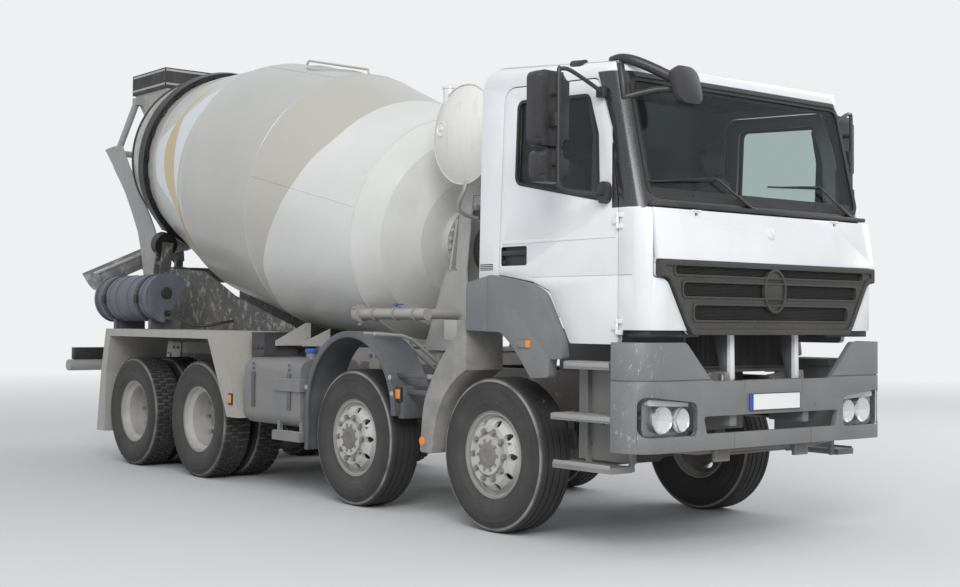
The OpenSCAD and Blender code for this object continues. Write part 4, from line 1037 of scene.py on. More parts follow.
def by_place(tree, place, split, tone):
    """The fender behind the first wheel is a paler moulding than the second arch."""
    pale = spread(tree, split.outputs["X"], front_axle - 0.800, front_axle - 0.790)
    return blend_colour(tree, pale, tone, blend_colour(
        tree, spread(tree, cloud(tree, place, 4), 0.35, 0.65), (0.20, 0.20, 0.195),
        (0.33, 0.315, 0.29)))


fender_coat = coated("fender_plastic", (0.070, 0.078, 0.092), 0.42, dusty=0.5, bump=0.15,
                     overlay=by_place)


def arch_line(x, z, r, grow, low):
    """Half a ring with straight legs, as one outline."""
    count = 40
    outer = [(front_axle + x + (r + grow) * math.cos(a), z + (r + grow) * math.sin(a))
             for a in [math.pi * k / count for k in range(count + 1)]]
    inner = [(front_axle + x + r * math.cos(a), z + r * math.sin(a))
             for a in [math.pi * k / count for k in range(count, -1, -1)]]
    return outer + [(front_axle + x - r - grow, low), (front_axle + x - r, low)] + inner


first_line = side_line([(-243, 1469, 0), (-560, 1150, 500), (-735, 873, 500), (-775, 494, 25),
                        (-640, 494, 15), (-560, 700, 0), (-400, 1000, 0), (-243, 1090, 0)])
first_hollow = side_line([(-300, 1340, 0), (-560, 1070, 0), (-690, 850, 0), (-720, 560, 0),
                          (-655, 560, 0), (-620, 760, 0), (-450, 1050, 0), (-300, 1150, 0)])
wheel_room = [(front_axle + 0.622 * math.cos(a), 0.532 + 0.622 * math.sin(a))
              for a in [math.tau * k / 96 for k in range(96)]]
fenders = bmesh.new()
for sign in (-1, 1):
    first = carved(side_prism(first_line, sign * 0.860, sign * 1.200), "DIFFERENCE",
                   side_prism(wheel_room, sign * 0.760, sign * 1.300),
                   side_prism(first_hollow, sign * 0.800, sign * 1.178))
    sheet = side_prism(arch_line(-1.720, 0.735, 0.602, 0.026, 0.393), sign * 0.860, sign * 1.200)
    lip = side_prism(arch_line(-1.720, 0.735, 0.578, 0.052, 0.393), sign * 1.180, sign * 1.2005)
    for piece in (first, sheet, lip):
        join(fenders, piece)
    add_box(fenders, at(-1.106, sign * 0.860, 0.715), at(-1.038, sign * 1.160, 0.960), 0.012)
    add_box(fenders, at(-1.118, sign * 1.090, 0.900), at(-0.640, sign * 1.120, 0.934), 0.006)
    add_box(fenders, at(-1.178, sign * 1.090, 1.020), at(-0.640, sign * 1.120, 1.054), 0.006)
    for x, z in ((-0.629, 1.000), (-2.335, 0.900), (-1.128, 0.900)):
        add_tube(fenders, [at(x, sign * 0.400, z), at(x, sign * 0.880, z)], 0.022, 14)
fender_piece = finished("steered_fenders", fenders, fender_coat, body_of("plastic_fenders"), 30)
softened(fender_piece, 0.005, 50)
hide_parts("plastic_fenders")
reflector_amber = coated("reflector_amber", (0.78, 0.24, 0.03), 0.25, dusty=0.2, bump=0.25,
                         grain=220)
brackets = bmesh.new()
amber = bmesh.new()
black_bits = bmesh.new()
for sign in (-1, 1):
    for x in (-1.56, -1.42):
        add_tube(brackets, [at(x, sign * 0.42, 1.02), at(x, sign * 0.80, 1.30),
                            at(x, sign * 0.90, 1.33), at(x, sign * 1.16, 1.345)], 0.014, 10)
    # Two clips that hold the arch's sheet to the brackets, and its edge bolts
    for x, z in ((-1.155, 1.02), (-1.128, 0.90), (-2.325, 0.90)):
        place = outward(sign, x, 1.2005, z)
        add_lathe(brackets, [(0.0, 0.0), (0.0, 0.020), (0.003, 0.020), (0.005, 0.012),
                             (0.011, 0.011), (0.012, 0.0)], place, 14)
    # Round reflector on the first fender, side lamps on the legs of the second
    place = outward(sign, -0.740, 1.2005, 0.574)
    add_lathe(amber, [(0.0, 0.0), (0.0, 0.034), (0.005, 0.034), (0.007, 0.030), (0.007, 0.0)],
              place, 28)
    add_box(black_bits, at(-1.110, sign * 1.161, 0.845), at(-1.040, sign * 1.180, 0.955), 0.004)
    add_box(amber, at(-1.103, sign * 1.180, 0.865), at(-1.047, sign * 1.188, 0.935), 0.004)
finished("fender_brackets", brackets, galvanised, body_of("plastic_fenders"))
finished("side_lamp_bases", black_bits, plate_edge, body_of("plastic_fenders"))
finished("fender_reflectors", amber, reflector_amber, body_of("plastic_fenders"))

# Mudguards over the bogie: folded steel sheet, painted grey, with a pressed tread
# pattern along the top and a dark lining; the lamp is screwed low on the front leg.
mudguard_coat = coated("mudguard_steel", (0.40, 0.39, 0.36), 0.55, dusty=0.9, bump=0.35,
                       crust=0.3, streaks=0.4)
wear(mudguard_coat, "rear_fenders")
unit = bmesh.new()
add_box(unit, (-0.011, -0.0022, -0.001), (0.011, 0.0022, 0.0022), 0.0)
studs_top = repeated(row_tree, unit, mudguard_coat, Count=66, Step=(0.034, 0, 0), Rows=16,
                     Row_Step=(0, 0.036, 0))
shape = bmesh.new()
for y in (-1.225, 0.640):
    add_mesh(shape, studs_top, Matrix.Translation(at(-6.045, y, 1.3402)))
finished("mudguard_pattern", shape, mudguard_coat, body_of("rear_fenders"))
shape = bmesh.new()
amber = bmesh.new()
rims_of_guard = bmesh.new()
for sign in (-1, 1):
    edge = [(-6.10, 1.335), (-3.775, 1.335), (-3.40, 0.665)]
    add_tube(rims_of_guard, [at(x, sign * 1.241, z) for x, z in edge], 0.0085, 8)
    for x in [-5.9 + 0.42 * k for k in range(6)]:
        add_lathe(rims_of_guard, screw_head(0.010), outward(sign, x, 1.2501, 1.312), 12)
    add_box(shape, at(-3.515, sign * 1.2502, 0.70), at(-3.445, sign * 1.264, 0.80), 0.004)
    add_box(amber, at(-3.508, sign * 1.264, 0.715), at(-3.452, sign * 1.270, 0.785), 0.003)
finished("mudguard_edge", rims_of_guard, mudguard_coat, body_of("rear_fenders"))
finished("mudguard_lamp_bases", shape, plate_edge, body_of("rear_fenders"))
finished("mudguard_lamps", amber, reflector_amber, body_of("rear_fenders"))

# Fuel tank: rolled aluminium with round corners, grey under road dirt, strapped to two
# brackets. The cap is blue; two foot bars hang outside it.
tank_coat = coated("tank_grey", (0.20, 0.205, 0.215), 0.42, metal=0.2, dusty=0.95, bump=0.2,
                   streaks=0.5, patch=3)
strap_coat = coated("strap_steel", (0.07, 0.07, 0.07), 0.45, dusty=0.6)
cap_blue = coated("cap_blue", (0.015, 0.09, 0.40), 0.4, dusty=0.3)
wear(tank_coat, "fuel_tank")
shape = bmesh.new()
cap_place = Matrix.Translation(at(-2.570, -1.0, 1.170))
add_lathe(shape, [(0.0, 0.0), (0.0, 0.052), (0.010, 0.056), (0.030, 0.055), (0.036, 0.048),
                  (0.036, 0.0)], cap_place, 36)
for k in range(4):
    a = k * math.pi / 2
    add_box(shape, cap_place @ Vector((-0.008 + 0.046 * math.cos(a), -0.008 + 0.046 * math.sin(a),
                                       0.004)),
            cap_place @ Vector((0.008 + 0.046 * math.cos(a), 0.008 + 0.046 * math.sin(a),
                                0.034)), 0.002)
finished("fuel_cap", shape, cap_blue, body_of("fuel_tank"))
shape = bmesh.new()
for x in (-3.205, -2.620):
    for z in (1.02, 1.06):
        add_tube(shape, [at(x + 0.03, -1.2052, z), at(x + 0.03, -1.2052, z + 0.02)], 0.009, 8)
    add_box(shape, at(x + 0.004, -1.2105, 0.70), at(x + 0.056, -1.2051, 1.00), 0.002)
finished("tank_straps", shape, strap_coat, body_of("fuel_tank"))
unit = bmesh.new()
add_box(unit, (0, 0, 0), (0.012, 0.005, 0.005), 0.001)
bar_ribs = repeated(row_tree, unit, galvanised, Count=20, Step=(0.021, 0, 0), Rows=5,
                    Row_Step=(0, 0.013, 0))
shape = bmesh.new()
for z in (0.956, 0.520):
    add_mesh(shape, bar_ribs, Matrix.Translation(at(-2.823, -1.212, z - 0.0005)))
finished("foot_bar_ribs", shape, galvanised, body_of("fuel_tank"))

# Silencer box on the left, air tanks' valve box on the right: sheet steel, dull dark
# paint, with a slotted guard on the box and pale wedge brackets beside it.
box_coat = coated("box_dark", (0.045, 0.047, 0.055), 0.45, dusty=0.6, bump=0.2)
wear(box_coat, "chassis_boxes")
shape = bmesh.new()
unit = bmesh.new()
add_box(unit, (0, 0, 0), (0.11, 0.004, 0.010), 0.001)
guard = repeated(row_tree, unit, box_coat, Count=6, Step=(0.14, 0, 0), Rows=18,
                 Row_Step=(0, 0, 0.024))
add_mesh(shape, guard, Matrix.Translation(at(-3.34, 1.1885, 0.61)))
add_box(shape, at(-3.610, -0.984, 1.322), at(-3.370, -0.636, 1.334), 0.004)
for x in (-3.56, -3.49, -3.42):
    add_tube(shape, [at(x, -0.981, 1.20), at(x, -0.997, 1.20)], 0.014, 10)
finished("box_fittings", shape, box_coat, body_of("chassis_boxes"))
wedge_coat = coated("wedge_paint", (0.46, 0.45, 0.43), 0.5, dusty=0.6, bump=0.3, crust=0.3)
shape = bmesh.new()
for sign in (-1, 1):
    for x in (-3.30, -2.98):
        place = board(at(x, sign * 0.552, 0), (0, sign, 0), (0, 0, 1))
        add_plate(shape, [(0.0, 1.218), (0.36, 1.218), (0.36, 1.26), (0.05, 1.42), (0.0, 1.42)]
                  if x < -3.1 else [(0.0, 1.218), (0.28, 1.218), (0.28, 1.25), (0.0, 1.37)],
                  0.010, place)
finished("wedge_brackets", shape, wedge_coat, body_of("rear_pedestal"))

# Water tank and its feed: a white steel cylinder with dished ends across the truck
# behind the cab, a round cover on each end, and the filling pipe low on the right.


def bend(points, steps=8):
    """A smooth line through a few points."""
    points = [Vector(p) for p in points]
    ends = [2 * points[0] - points[1]] + points + [2 * points[-1] - points[-2]]
    line = []
    for i in range(1, len(ends) - 2):
        a, b, c, d = ends[i - 1:i + 3]
        for k in range(steps):
            t = k / steps
            line.append(0.5 * (2 * b + (c - a) * t + (2 * a - 5 * b + 4 * c - d) * t ** 2
                               + (3 * b - a - 3 * c + d) * t ** 3))
    return line + [points[-1]]


pipe_coat = coated("pipe_grey", (0.36, 0.35, 0.33), 0.45, metal=0.3, dusty=0.6, bump=0.2,
                   crust=0.2)


def pipe_below(tree, place, split, tone):
    """The feed pipe low down is bare steel, the tank itself is white."""
    low = spread(tree, split.outputs["Z"], 2.0, 1.9)
    return blend_colour(tree, low, tone, (0.33, 0.32, 0.30))


water_coat = coated("tank_white", (0.74, 0.73, 0.70), 0.3, gloss_coat=0.4,
                    dust=(0.42, 0.38, 0.30), dusty=0.35, dust_top=3.4, dust_low=2.2, bump=0.03,
                    streaks=0.45, overlay=pipe_below)
wear(water_coat, "water_supply")
shape = bmesh.new()
for sign in (-1, 1):
    end = outward(sign, -1.160, 0.700, 2.930)
    add_lathe(shape, [(-0.03, 0.0), (-0.03, 0.060), (0.030, 0.060), (0.036, 0.056),
                      (0.036, 0.050), (0.030, 0.046), (0.030, 0.018), (0.044, 0.014),
                      (0.044, 0.0)], end, 32)
    seam = board(at(-0.980, sign * 0.640, 2.880), (sign, 0, 0), (0, 0, 1))
    add_lathe(shape, [(-0.008, 0.380), (-0.008, 0.3862), (0.008, 0.3862), (0.008, 0.380)],
              seam, 72)
add_tube(shape, [at(-1.225, -0.60, 3.12), at(-1.225, -0.60, 3.268)], 0.052, 20)
add_lathe(shape, [(0.0, 0.0), (0.0, 0.060), (0.016, 0.060), (0.020, 0.052), (0.020, 0.0)],
          Matrix.Translation(at(-1.225, -0.60, 3.262)), 24)
finished("tank_fittings", shape, water_coat, body_of("water_supply"))
shape = bmesh.new()
add_tube(shape, bend([at(-0.960, -0.64, 2.505), at(-0.965, -0.655, 2.44),
                      at(-1.02, -0.66, 2.36), at(-1.05, -0.62, 2.29), at(-1.06, -0.48, 2.25),
                      at(-1.06, -0.447, 2.25)]), 0.017, 10)
coupling = facing(-2.19, -0.78, 1.50) @ Matrix.Rotation(math.pi, 4, "Y")
add_lathe(shape, [(-0.012, 0.040), (0.004, 0.060), (0.010, 0.078), (0.002, 0.080),
                  (-0.020, 0.080), (-0.020, 0.042)], coupling, 28)
for k in range(3):
    a = k * math.tau / 3 + 0.4
    centre = at(-2.165, -0.78 + 0.083 * math.cos(a), 1.50 + 0.083 * math.sin(a))
    add_box(shape, centre - Vector((0.018, 0.012, 0.012)), centre + Vector((0.018, 0.012, 0.012)),
            0.003)
for x in (-1.95, -1.66, -1.40):
    add_lathe(shape, [(-0.010, 0.044), (-0.010, 0.056), (0.010, 0.056), (0.010, 0.044)],
              facing(x, -0.78, 1.50), 24)
finished("feed_pipe_fittings", shape, pipe_coat, body_of("water_supply"))
shape = bmesh.new()
add_tube(shape, [at(-1.671, -0.78, 1.540), at(-1.671, -0.78, 1.575)], 0.012, 10)
add_box(shape, at(-1.70, -0.79, 1.570), at(-1.58, -0.77, 1.582), 0.004)
finished("valve_handle", shape, cap_blue, body_of("water_supply"))

# Front pedestal: two folded side plates bolted to the subframe, a gearbox flange with its
# ring of bolts, and saddles for the tank. Light grey paint with cement splashes.
front_pedestal_coat = coated("pedestal_light", (0.40, 0.40, 0.385), 0.45, dusty=0.5, bump=0.2,
                             crust=0.25, streaks=0.4, dust_top=2.6)
gearbox_coat = coated("gearbox_dark", (0.09, 0.09, 0.09), 0.45, dusty=0.4, bump=0.3)
rear_pedestal_coat = coated("pedestal_dark", (0.11, 0.11, 0.11), 0.5, dusty=0.6, bump=0.25,
                            crust=0.35, streaks=0.4, dust_top=2.4)
wear(front_pedestal_coat, "front_pedestal")
wear(gearbox_coat, "drum_gearbox")
wear(rear_pedestal_coat, "rear_pedestal")
drum_tilt = math.radians(13)
drum_middle = at(-4.0, 0, 2.67)
drum_axes = Matrix.Translation(drum_middle) @ Matrix.Rotation(drum_tilt - math.pi / 2, 4, "Y")
gear_bolts = repeated(ring_tree, hex_bolt(0.022, 0.016, 0.015), gearbox_coat, Count=20,
                      Radius=0.232)
shape = bmesh.new()
for s in (-2.755, -2.462):
    add_lathe(shape, [(-0.014, 0.200), (-0.014, 0.2515), (0.012, 0.2515), (0.012, 0.200)],
              drum_axes @ Matrix.Translation((0, 0, s)), 48)
add_mesh(shape, gear_bolts, drum_axes @ Matrix.Translation((0, 0, -2.768))
         @ Matrix.Rotation(math.pi, 4, "X"))
add_lathe(shape, [(0.0, 0.0), (0.0, 0.11), (-0.05, 0.10), (-0.07, 0.06), (-0.07, 0.0)],
          drum_axes @ Matrix.Translation((0, 0, -2.951)), 32)
for k in range(8):
    a = k * math.pi / 4
    p = drum_axes @ Vector((0.213 * math.cos(a), 0.213 * math.sin(a), -2.93))
    q = drum_axes @ Vector((0.213 * math.cos(a), 0.213 * math.sin(a), -2.78))
    add_tube(shape, [p, q], 0.012, 8)
finished("gearbox_ribs", shape, gearbox_coat, body_of("drum_gearbox"))
foot_bolts = repeated(row_tree, hex_bolt(0.024, 0.015, 0.018), bolt_steel, Count=4,
                      Step=(0.15, 0, 0), Rows=1, Row_Step=(0, 0.1, 0))
shape = bmesh.new()
for sign in (-1, 1):
    add_mesh(shape, foot_bolts, Matrix.Translation(at(-1.66, sign * 0.425, 1.235)))
    edge = [(-1.715, 1.24), (-1.445, 1.845), (-1.315, 1.86), (-1.255, 2.44)]
    add_tube(shape, [at(x, sign * 0.4485, z) for x, z in edge], 0.008, 8)
# Bracket box beside the foot, with its two clamped lines
add_box(shape, at(-1.02, -0.80, 1.300), at(-0.86, -0.60, 1.455), 0.006)
add_box(shape, at(-0.99, -0.62, 1.215), at(-0.90, -0.44, 1.32), 0.006)
finished("pedestal_fixings", shape, front_pedestal_coat, body_of("front_pedestal"))

# Drum: rolled steel rings welded together, glossy warm grey, with a light sweep ahead,
# a pale blue field and an ochre stripe behind. It turns on the gearbox and two rollers.
# Angles are from straight up, in half turns; places along the axis are in metres.
sweep_edge = [(0.0, -1.49), (17, -1.48), (38, -1.45), (53, -1.41), (66, -1.31), (78, -1.22),
              (90, -1.11), (101, -1.00), (112, -0.88), (122, -0.78), (132, -0.73), (144, -0.66),
              (180, -0.60)]
stripe_rear = [(0, 0.60), (36, 1.06), (41, 1.16), (51, 1.26), (60, 1.30), (75, 1.36),
               (87, 1.32), (97, 1.20), (105, 1.01), (113, 0.81), (123, 0.70), (138, 0.52),
               (180, 0.30)]
stripe_front = [(0, 0.60), (36, 1.05), (41, 1.07), (51, 1.16), (59, 1.19), (74, 1.07),
                (84, 0.96), (94, 0.87), (103, 0.77), (112, 0.66), (124, 0.59), (138, 0.50),
                (180, 0.30)]
curve_reach = 2.5
paint_edge = 0.004
field_rear = [(0, 0.60), (40, 0.75), (48, 0.96), (61, 1.17), (69, 1.43), (80, 1.65), (92, 1.62),
              (100, 1.55), (112, 0.80), (180, 0.30)]


def edge_curve(tree, turn, table):
    """A curve of places along the drum over the angle from straight up."""
    curve = tree.nodes.new("ShaderNodeFloatCurve")
    points = curve.mapping.curves[0].points
    while len(points) < len(table):
        points.new(0.5, 0.5)
    for point, (degrees, along) in zip(points, table):
        point.location = (degrees / 180, (along + curve_reach) / (2 * curve_reach))
        point.handle_type = "AUTO_CLAMPED"
    curve.mapping.update()
    tree.links.new(turn, curve.inputs["Value"])
    return spread(tree, curve.outputs["Value"], 0, 1, -curve_reach, curve_reach)


def drum_places(tree, place):
    """Place along the drum's axis, and the angle from straight up in half turns."""
    moved = tree.nodes.new("ShaderNodeMapping")
    moved.vector_type = "POINT"
    back = drum_axes.inverted()
    moved.inputs["Location"].default_value = back.to_translation()
    moved.inputs["Rotation"].default_value = back.to_euler()
    tree.links.new(place, moved.inputs["Vector"])
    split = tree.nodes.new("ShaderNodeSeparateXYZ")
    tree.links.new(moved.outputs[0], split.inputs[0])
    side = combine(tree, "ABSOLUTE", split.outputs["Y"], 0, False)
    turn = combine(tree, "ARCTAN2", side, split.outputs["X"], False)
    return split.outputs["Z"], combine(tree, "DIVIDE", turn, math.pi, False)


def edge_mask(tree, along, edge):
    """1 where the place lies behind the edge."""
    gap = combine(tree, "SUBTRACT", along, edge, False)
    return spread(tree, gap, -paint_edge, paint_edge)


def drum_paint():
    material = bpy.data.materials.new("drum_paint")
    tree, shader, place, _ = shader_steps(material)
    along, turn = drum_places(tree, place)
    large = cloud(tree, place, 1.1, 4)
    fine = cloud(tree, place, 60, 4)
    grey = blend_colour(tree, spread(tree, large, 0.35, 0.65), (0.435, 0.430, 0.395),
                        (0.475, 0.470, 0.440))
    seam_band = combine(tree, "MULTIPLY", spread(tree, along, -0.695, -0.705),
                        spread(tree, along, -2.2, -2.19))
    grey = blend_colour(tree, combine(tree, "MULTIPLY", seam_band, 0.8), grey,
                        (0.455, 0.435, 0.385))
    light = edge_mask(tree, combine(tree, "MULTIPLY", along, -1, False),
                      combine(tree, "MULTIPLY", edge_curve(tree, turn, sweep_edge), -1, False))
    tone = blend_colour(tree, light, grey, blend_colour(
        tree, spread(tree, large, 0.35, 0.65), (0.60, 0.60, 0.575), (0.66, 0.66, 0.64)))
    behind_seam = spread(tree, along, 0.745, 0.755)
    field = combine(tree, "MULTIPLY", behind_seam, combine(
        tree, "SUBTRACT", 1, edge_mask(tree, along, edge_curve(tree, turn, field_rear))))
    tone = blend_colour(tree, field, tone, (0.62, 0.66, 0.67))
    stripe = combine(tree, "MULTIPLY",
                     edge_mask(tree, along, edge_curve(tree, turn, stripe_front)),
                     combine(tree, "SUBTRACT", 1,
                             edge_mask(tree, along, edge_curve(tree, turn, stripe_rear))))
    tone = blend_colour(tree, stripe, tone, (0.47, 0.36, 0.12))
    # Dried cement creeps forward from the mouth. The belly is darkened towards the bottom, partly
    # road haze and partly painted shade
    rear_dirt = combine(tree, "MULTIPLY", spread(tree, along, 1.45, 2.35),
                        spread(tree, cloud(tree, place, 5, 7), 0.42, 0.62))
    # Painted shade with road haze: the lower half of the drum is darkened by its angle from straight
    # up
    under = combine(tree, "MULTIPLY", spread(tree, turn, 0.55, 1.0, 0, 0.55),
                    spread(tree, cloud(tree, place, 2.3, 5), 0.3, 0.75))
    nose_dirt = combine(tree, "MULTIPLY", spread(tree, along, -2.0, -2.3),
                        spread(tree, cloud(tree, place, 3, 6), 0.45, 0.75, 0, 0.22))
    tone = blend_colour(tree, under, tone, (0.30, 0.285, 0.25))
    tone = blend_colour(tree, combine(tree, "ADD", rear_dirt, nose_dirt), tone,
                        (0.27, 0.26, 0.235))
    tree.links.new(tone, shader.inputs["Base Color"])
    worn = combine(tree, "ADD", combine(tree, "ADD", rear_dirt, under), nose_dirt)
    tree.links.new(spread(tree, combine(tree, "ADD", worn, spread(tree, fine, 0.5, 0.9, 0, 0.2)),
                          0, 1, 0.30, 0.75), shader.inputs["Roughness"])
    shader.inputs["Coat Weight"].default_value = 0.35
    shader.inputs["Coat Roughness"].default_value = 0.15
    welds = combine(tree, "ADD", combine(tree, "MULTIPLY", fine, 0.12),
                    combine(tree, "MULTIPLY", rear_dirt, 0.5))
    bumped(tree, shader, welds, 0.25, 0.004)
    return material


drum_coat = drum_paint()
ring_coat = coated("ring_steel", (0.025, 0.025, 0.026), 0.35, metal=0.4, dusty=0.4, bump=0.25)
wear(drum_coat, "drum_shell")
wear(ring_coat, "track_ring", "roller_right", "roller_left")


def shell_radius(s):
    """Radius of the drum at a place along its axis."""
    table = [(-2.380, 0.300), (-2.350, 0.500), (-2.200, 0.800), (-1.990, 0.960),
             (-0.650, 1.195), (0.620, 1.180), (1.930, 0.905), (2.060, 0.885), (2.450, 0.840)]
    for (s1, r1), (s2, r2) in zip(table, table[1:]):
        if s <= s2:
            return r1 + (r2 - r1) * (s - s1) / (s2 - s1)
    return table[-1][1]


shape = bmesh.new()
# Girth welds between the rolled rings, and lengthwise seams on the cones
for s, high in ((-1.990, 0.004), (-0.650, 0.004), (0.735, 0.004), (1.690, 0.0035)):
    r = shell_radius(s)
    add_lathe(shape, [(-0.009, r - 0.004), (-0.004, r + high), (0.004, r + high),
                      (0.009, r - 0.004)], drum_axes @ Matrix.Translation((0, 0, s)), 120)


def on_drum(s, degrees, proud=0.0):
    """A point on the drum's skin; degrees from straight up, to the truck's right."""
    a = math.radians(degrees)
    r = shell_radius(s) + proud
    return drum_axes @ Vector((r * math.cos(a), -r * math.sin(a), s))


for degrees, s1, s2 in ((81, -1.98, -0.66), (-81, -1.98, -0.66), (103, 0.74, 1.68),
                        (-103, 0.74, 1.68), (20, -0.64, 0.72), (-150, -0.64, 0.72)):
    steps = [s1 + (s2 - s1) * k / 10 for k in range(11)]
    add_tube(shape, [on_drum(s, degrees, -0.002) for s in steps], 0.006, 8)
# Front flange with its bolts, the manhole's bridge on top and the cleaning hatch
flange_bolts = repeated(ring_tree, hex_bolt(0.026, 0.018, 0.02), bolt_steel, Count=24,
                        Radius=0.272)
add_mesh(shape, flange_bolts, drum_axes @ Matrix.Translation((0, 0, -2.4405))
         @ Matrix.Rotation(math.pi, 4, "X"))
bridge = [on_drum(-0.52, 0, 0.0), on_drum(-0.50, 0, 0.040), on_drum(0.55, 0, 0.040),
          on_drum(0.58, 0, 0.0)]
add_tube(shape, bridge, 0.011, 10)
hatch_plate = [(0.02 + 0.24 * math.cos(a), 15 * math.sin(a))
               for a in [k * math.tau / 28 for k in range(28)]]
rings = [[shape.verts.new(on_drum(s, d, proud)) for s, d in hatch_plate]
         for proud in (-0.003, 0.012)]
skinned(shape, rings)
finished("drum_welds", shape, drum_coat, body_of("drum_shell"))
# Track ring's holding blocks, and the inner blades that show in the mouth
shape = bmesh.new()
for k in range(24):
    a = k * math.tau / 24
    turned = drum_axes @ Matrix.Rotation(a, 4, "Z")
    for s in (1.905, 2.0525):
        block = bmesh.new()
        add_box(block, (0.896, -0.035, s), (0.935, 0.035, s + 0.024), 0.004)
        join(shape, block, turned)
add_lathe(shape, [(2.425, 0.834), (2.425, 0.850), (2.452, 0.852), (2.456, 0.845),
                  (2.452, 0.834)], drum_axes, 96)
finished("ring_blocks", shape, ring_coat, body_of("drum_shell"))
blade_coat = coated("blade_steel", (0.22, 0.21, 0.19), 0.6, metal=0.2, dusty=0.6, bump=0.5,
                    crust=0.6)
shape = bmesh.new()
for start in (0, math.pi):
    edges = [[], []]
    for k in range(49):
        s = 2.40 - 1.7 * k / 48
        a = start + math.tau * 0.95 * k / 48
        wall = shell_radius(s) - 0.012
        for row, r in zip(edges, (wall, wall - 0.30)):
            row.append([shape.verts.new(drum_axes @ Vector(
                (r * math.cos(a), r * math.sin(a), s + push))) for push in (-0.004, 0.004)])
    for k in range(48):
        outer, inner = edges
        quad = ((outer[k][0], outer[k + 1][0], inner[k + 1][0], inner[k][0]),
                (inner[k][1], inner[k + 1][1], outer[k + 1][1], outer[k][1]),
                (inner[k][0], inner[k + 1][0], inner[k + 1][1], inner[k][1]),
                (outer[k][1], outer[k + 1][1], outer[k + 1][0], outer[k][0]))
        for corners in quad:
            shape.faces.new(corners)
    for k in (0, 48):
        shape.faces.new((edges[0][k][0], edges[0][k][1], edges[1][k][1], edges[1][k][0]))
finished("drum_blades", shape, blade_coat, body_of("drum_shell"))

# Side tank of the mixer: rotational moulded plastic, blue-grey, with ribs and rims, in
# two black straps on its cradle above the mudguard.
side_tank_coat = coated("side_tank_plastic", (0.085, 0.095, 0.125), 0.4, dusty=0.6, bump=0.15,
                        dust_top=2.6, streaks=0.4)
strap_black = coated("strap_black", (0.015, 0.015, 0.016), 0.5, dusty=0.4)
wear(side_tank_coat, "side_tank")
shape = bmesh.new()
tank_radius = 0.235
flat_depth = 0.075
flat_turn = math.radians(-32)


def round_section(radius, steps=40):
    """The tank's section as (y, z), round outside and flat towards the drum."""
    line = []
    for k in range(steps):
        a = k * math.tau / steps
        y, z = radius * math.cos(a), radius * math.sin(a)
        across = y * math.cos(flat_turn) + z * math.sin(flat_turn)
        upright = -y * math.sin(flat_turn) + z * math.cos(flat_turn)
        across = min(across, flat_depth + radius - tank_radius)
        line.append((across * math.cos(flat_turn) - upright * math.sin(flat_turn) - 1.0,
                     across * math.sin(flat_turn) + upright * math.cos(flat_turn) + 1.65))
    return line


for x, wide, proud in ((-6.26, 0.04, 0.005), (-6.10, 0.04, 0.005), (-5.94, 0.04, 0.005),
                       (-5.68, 0.04, 0.005), (-5.52, 0.04, 0.005), (-5.36, 0.04, 0.005),
                       (-6.397, 0.034, 0.012), (-5.237, 0.034, 0.012)):
    add_band(shape, round_section(tank_radius + proud), round_section(0.231), wide,
             facing(x, 0, 0))
finished("side_tank_ribs", shape, side_tank_coat, body_of("side_tank"))
shape = bmesh.new()
for x in (-6.19, -5.44):
    add_band(shape, round_section(0.243), round_section(0.2345), 0.045, facing(x, 0, 0))
    add_box(shape, at(x - 0.01, -1.262, 1.60), at(x + 0.055, -1.238, 1.68), 0.004)
finished("side_tank_straps", shape, strap_black, body_of("side_tank"))
shape = bmesh.new()
add_lathe(shape, [(0.0, 0.0), (0.0, 0.055), (0.018, 0.055), (0.026, 0.048), (0.026, 0.0)],
          facing(-5.2, -1.03, 1.70), 28)
add_tube(shape, [at(-5.2, -1.02, 1.50), at(-5.16, -1.02, 1.50)], 0.030, 16)
finished("side_tank_caps", shape, strap_black, body_of("side_tank"))

# Hose: black rubber, from the side tank's outlet down to the rear pedestal, clamped at
# both ends.
hose_rubber = coated("hose_rubber", (0.02, 0.02, 0.021), 0.6, dusty=0.5, bump=0.3)


def hose(name, points, diameter, body):
    """A hose that leaves one fitting and goes back into the truck at the other."""
    line = bend(points, 6)
    shape = bmesh.new()
    add_tube(shape, line, diameter / 2, 14)
    piece = finished(name, shape, hose_rubber, body, 50)


hose("side_tank_hose", [at(-5.17, -1.02, 1.50), at(-5.08, -1.02, 1.495), at(-4.97, -1.00, 1.45),
                        at(-4.88, -0.93, 1.395), at(-4.80, -0.82, 1.38), at(-4.74, -0.70, 1.405),
                        at(-4.72, -0.60, 1.425), at(-4.72, -0.548, 1.43)],
     0.028, body_of("side_tank"))

# Rear under-run bar: galvanised tube on two plates, with the lamp boxes on top.
underrun_coat = coated("underrun_zinc", (0.40, 0.41, 0.41), 0.45, metal=0.3, dusty=0.8, bump=0.2,
                       crust=0.2)
wear(underrun_coat, "rear_underrun")
shape = bmesh.new()
for sign in (-1, 1):
    add_lathe(shape, [(0.0, 0.0), (0.0, 0.0602), (-0.010, 0.058), (-0.010, 0.0)],
              board(at(-7.15, sign * 1.199, 0.94), (sign, 0, 0), (0, 0, 1)), 32)
add_plate(shape, plate_outline(0.27, 0.06, 0.008), 0.004, facing(-7.2115, 0, 0.94))
add_box(shape, at(-7.21, -0.05, 0.92), at(-7.15, 0.05, 0.96), 0.004)
finished("underrun_fittings", shape, underrun_coat, body_of("rear_underrun"))
shape = bmesh.new()
add_plate(shape, plate_outline(0.258, 0.053, 0.008), 0.003,
          board(at(-7.2120, 0, 0.94), (0, -1, 0), (0, 0, 1)))
finished("rear_plate", shape, plate_white, body_of("rear_underrun"))

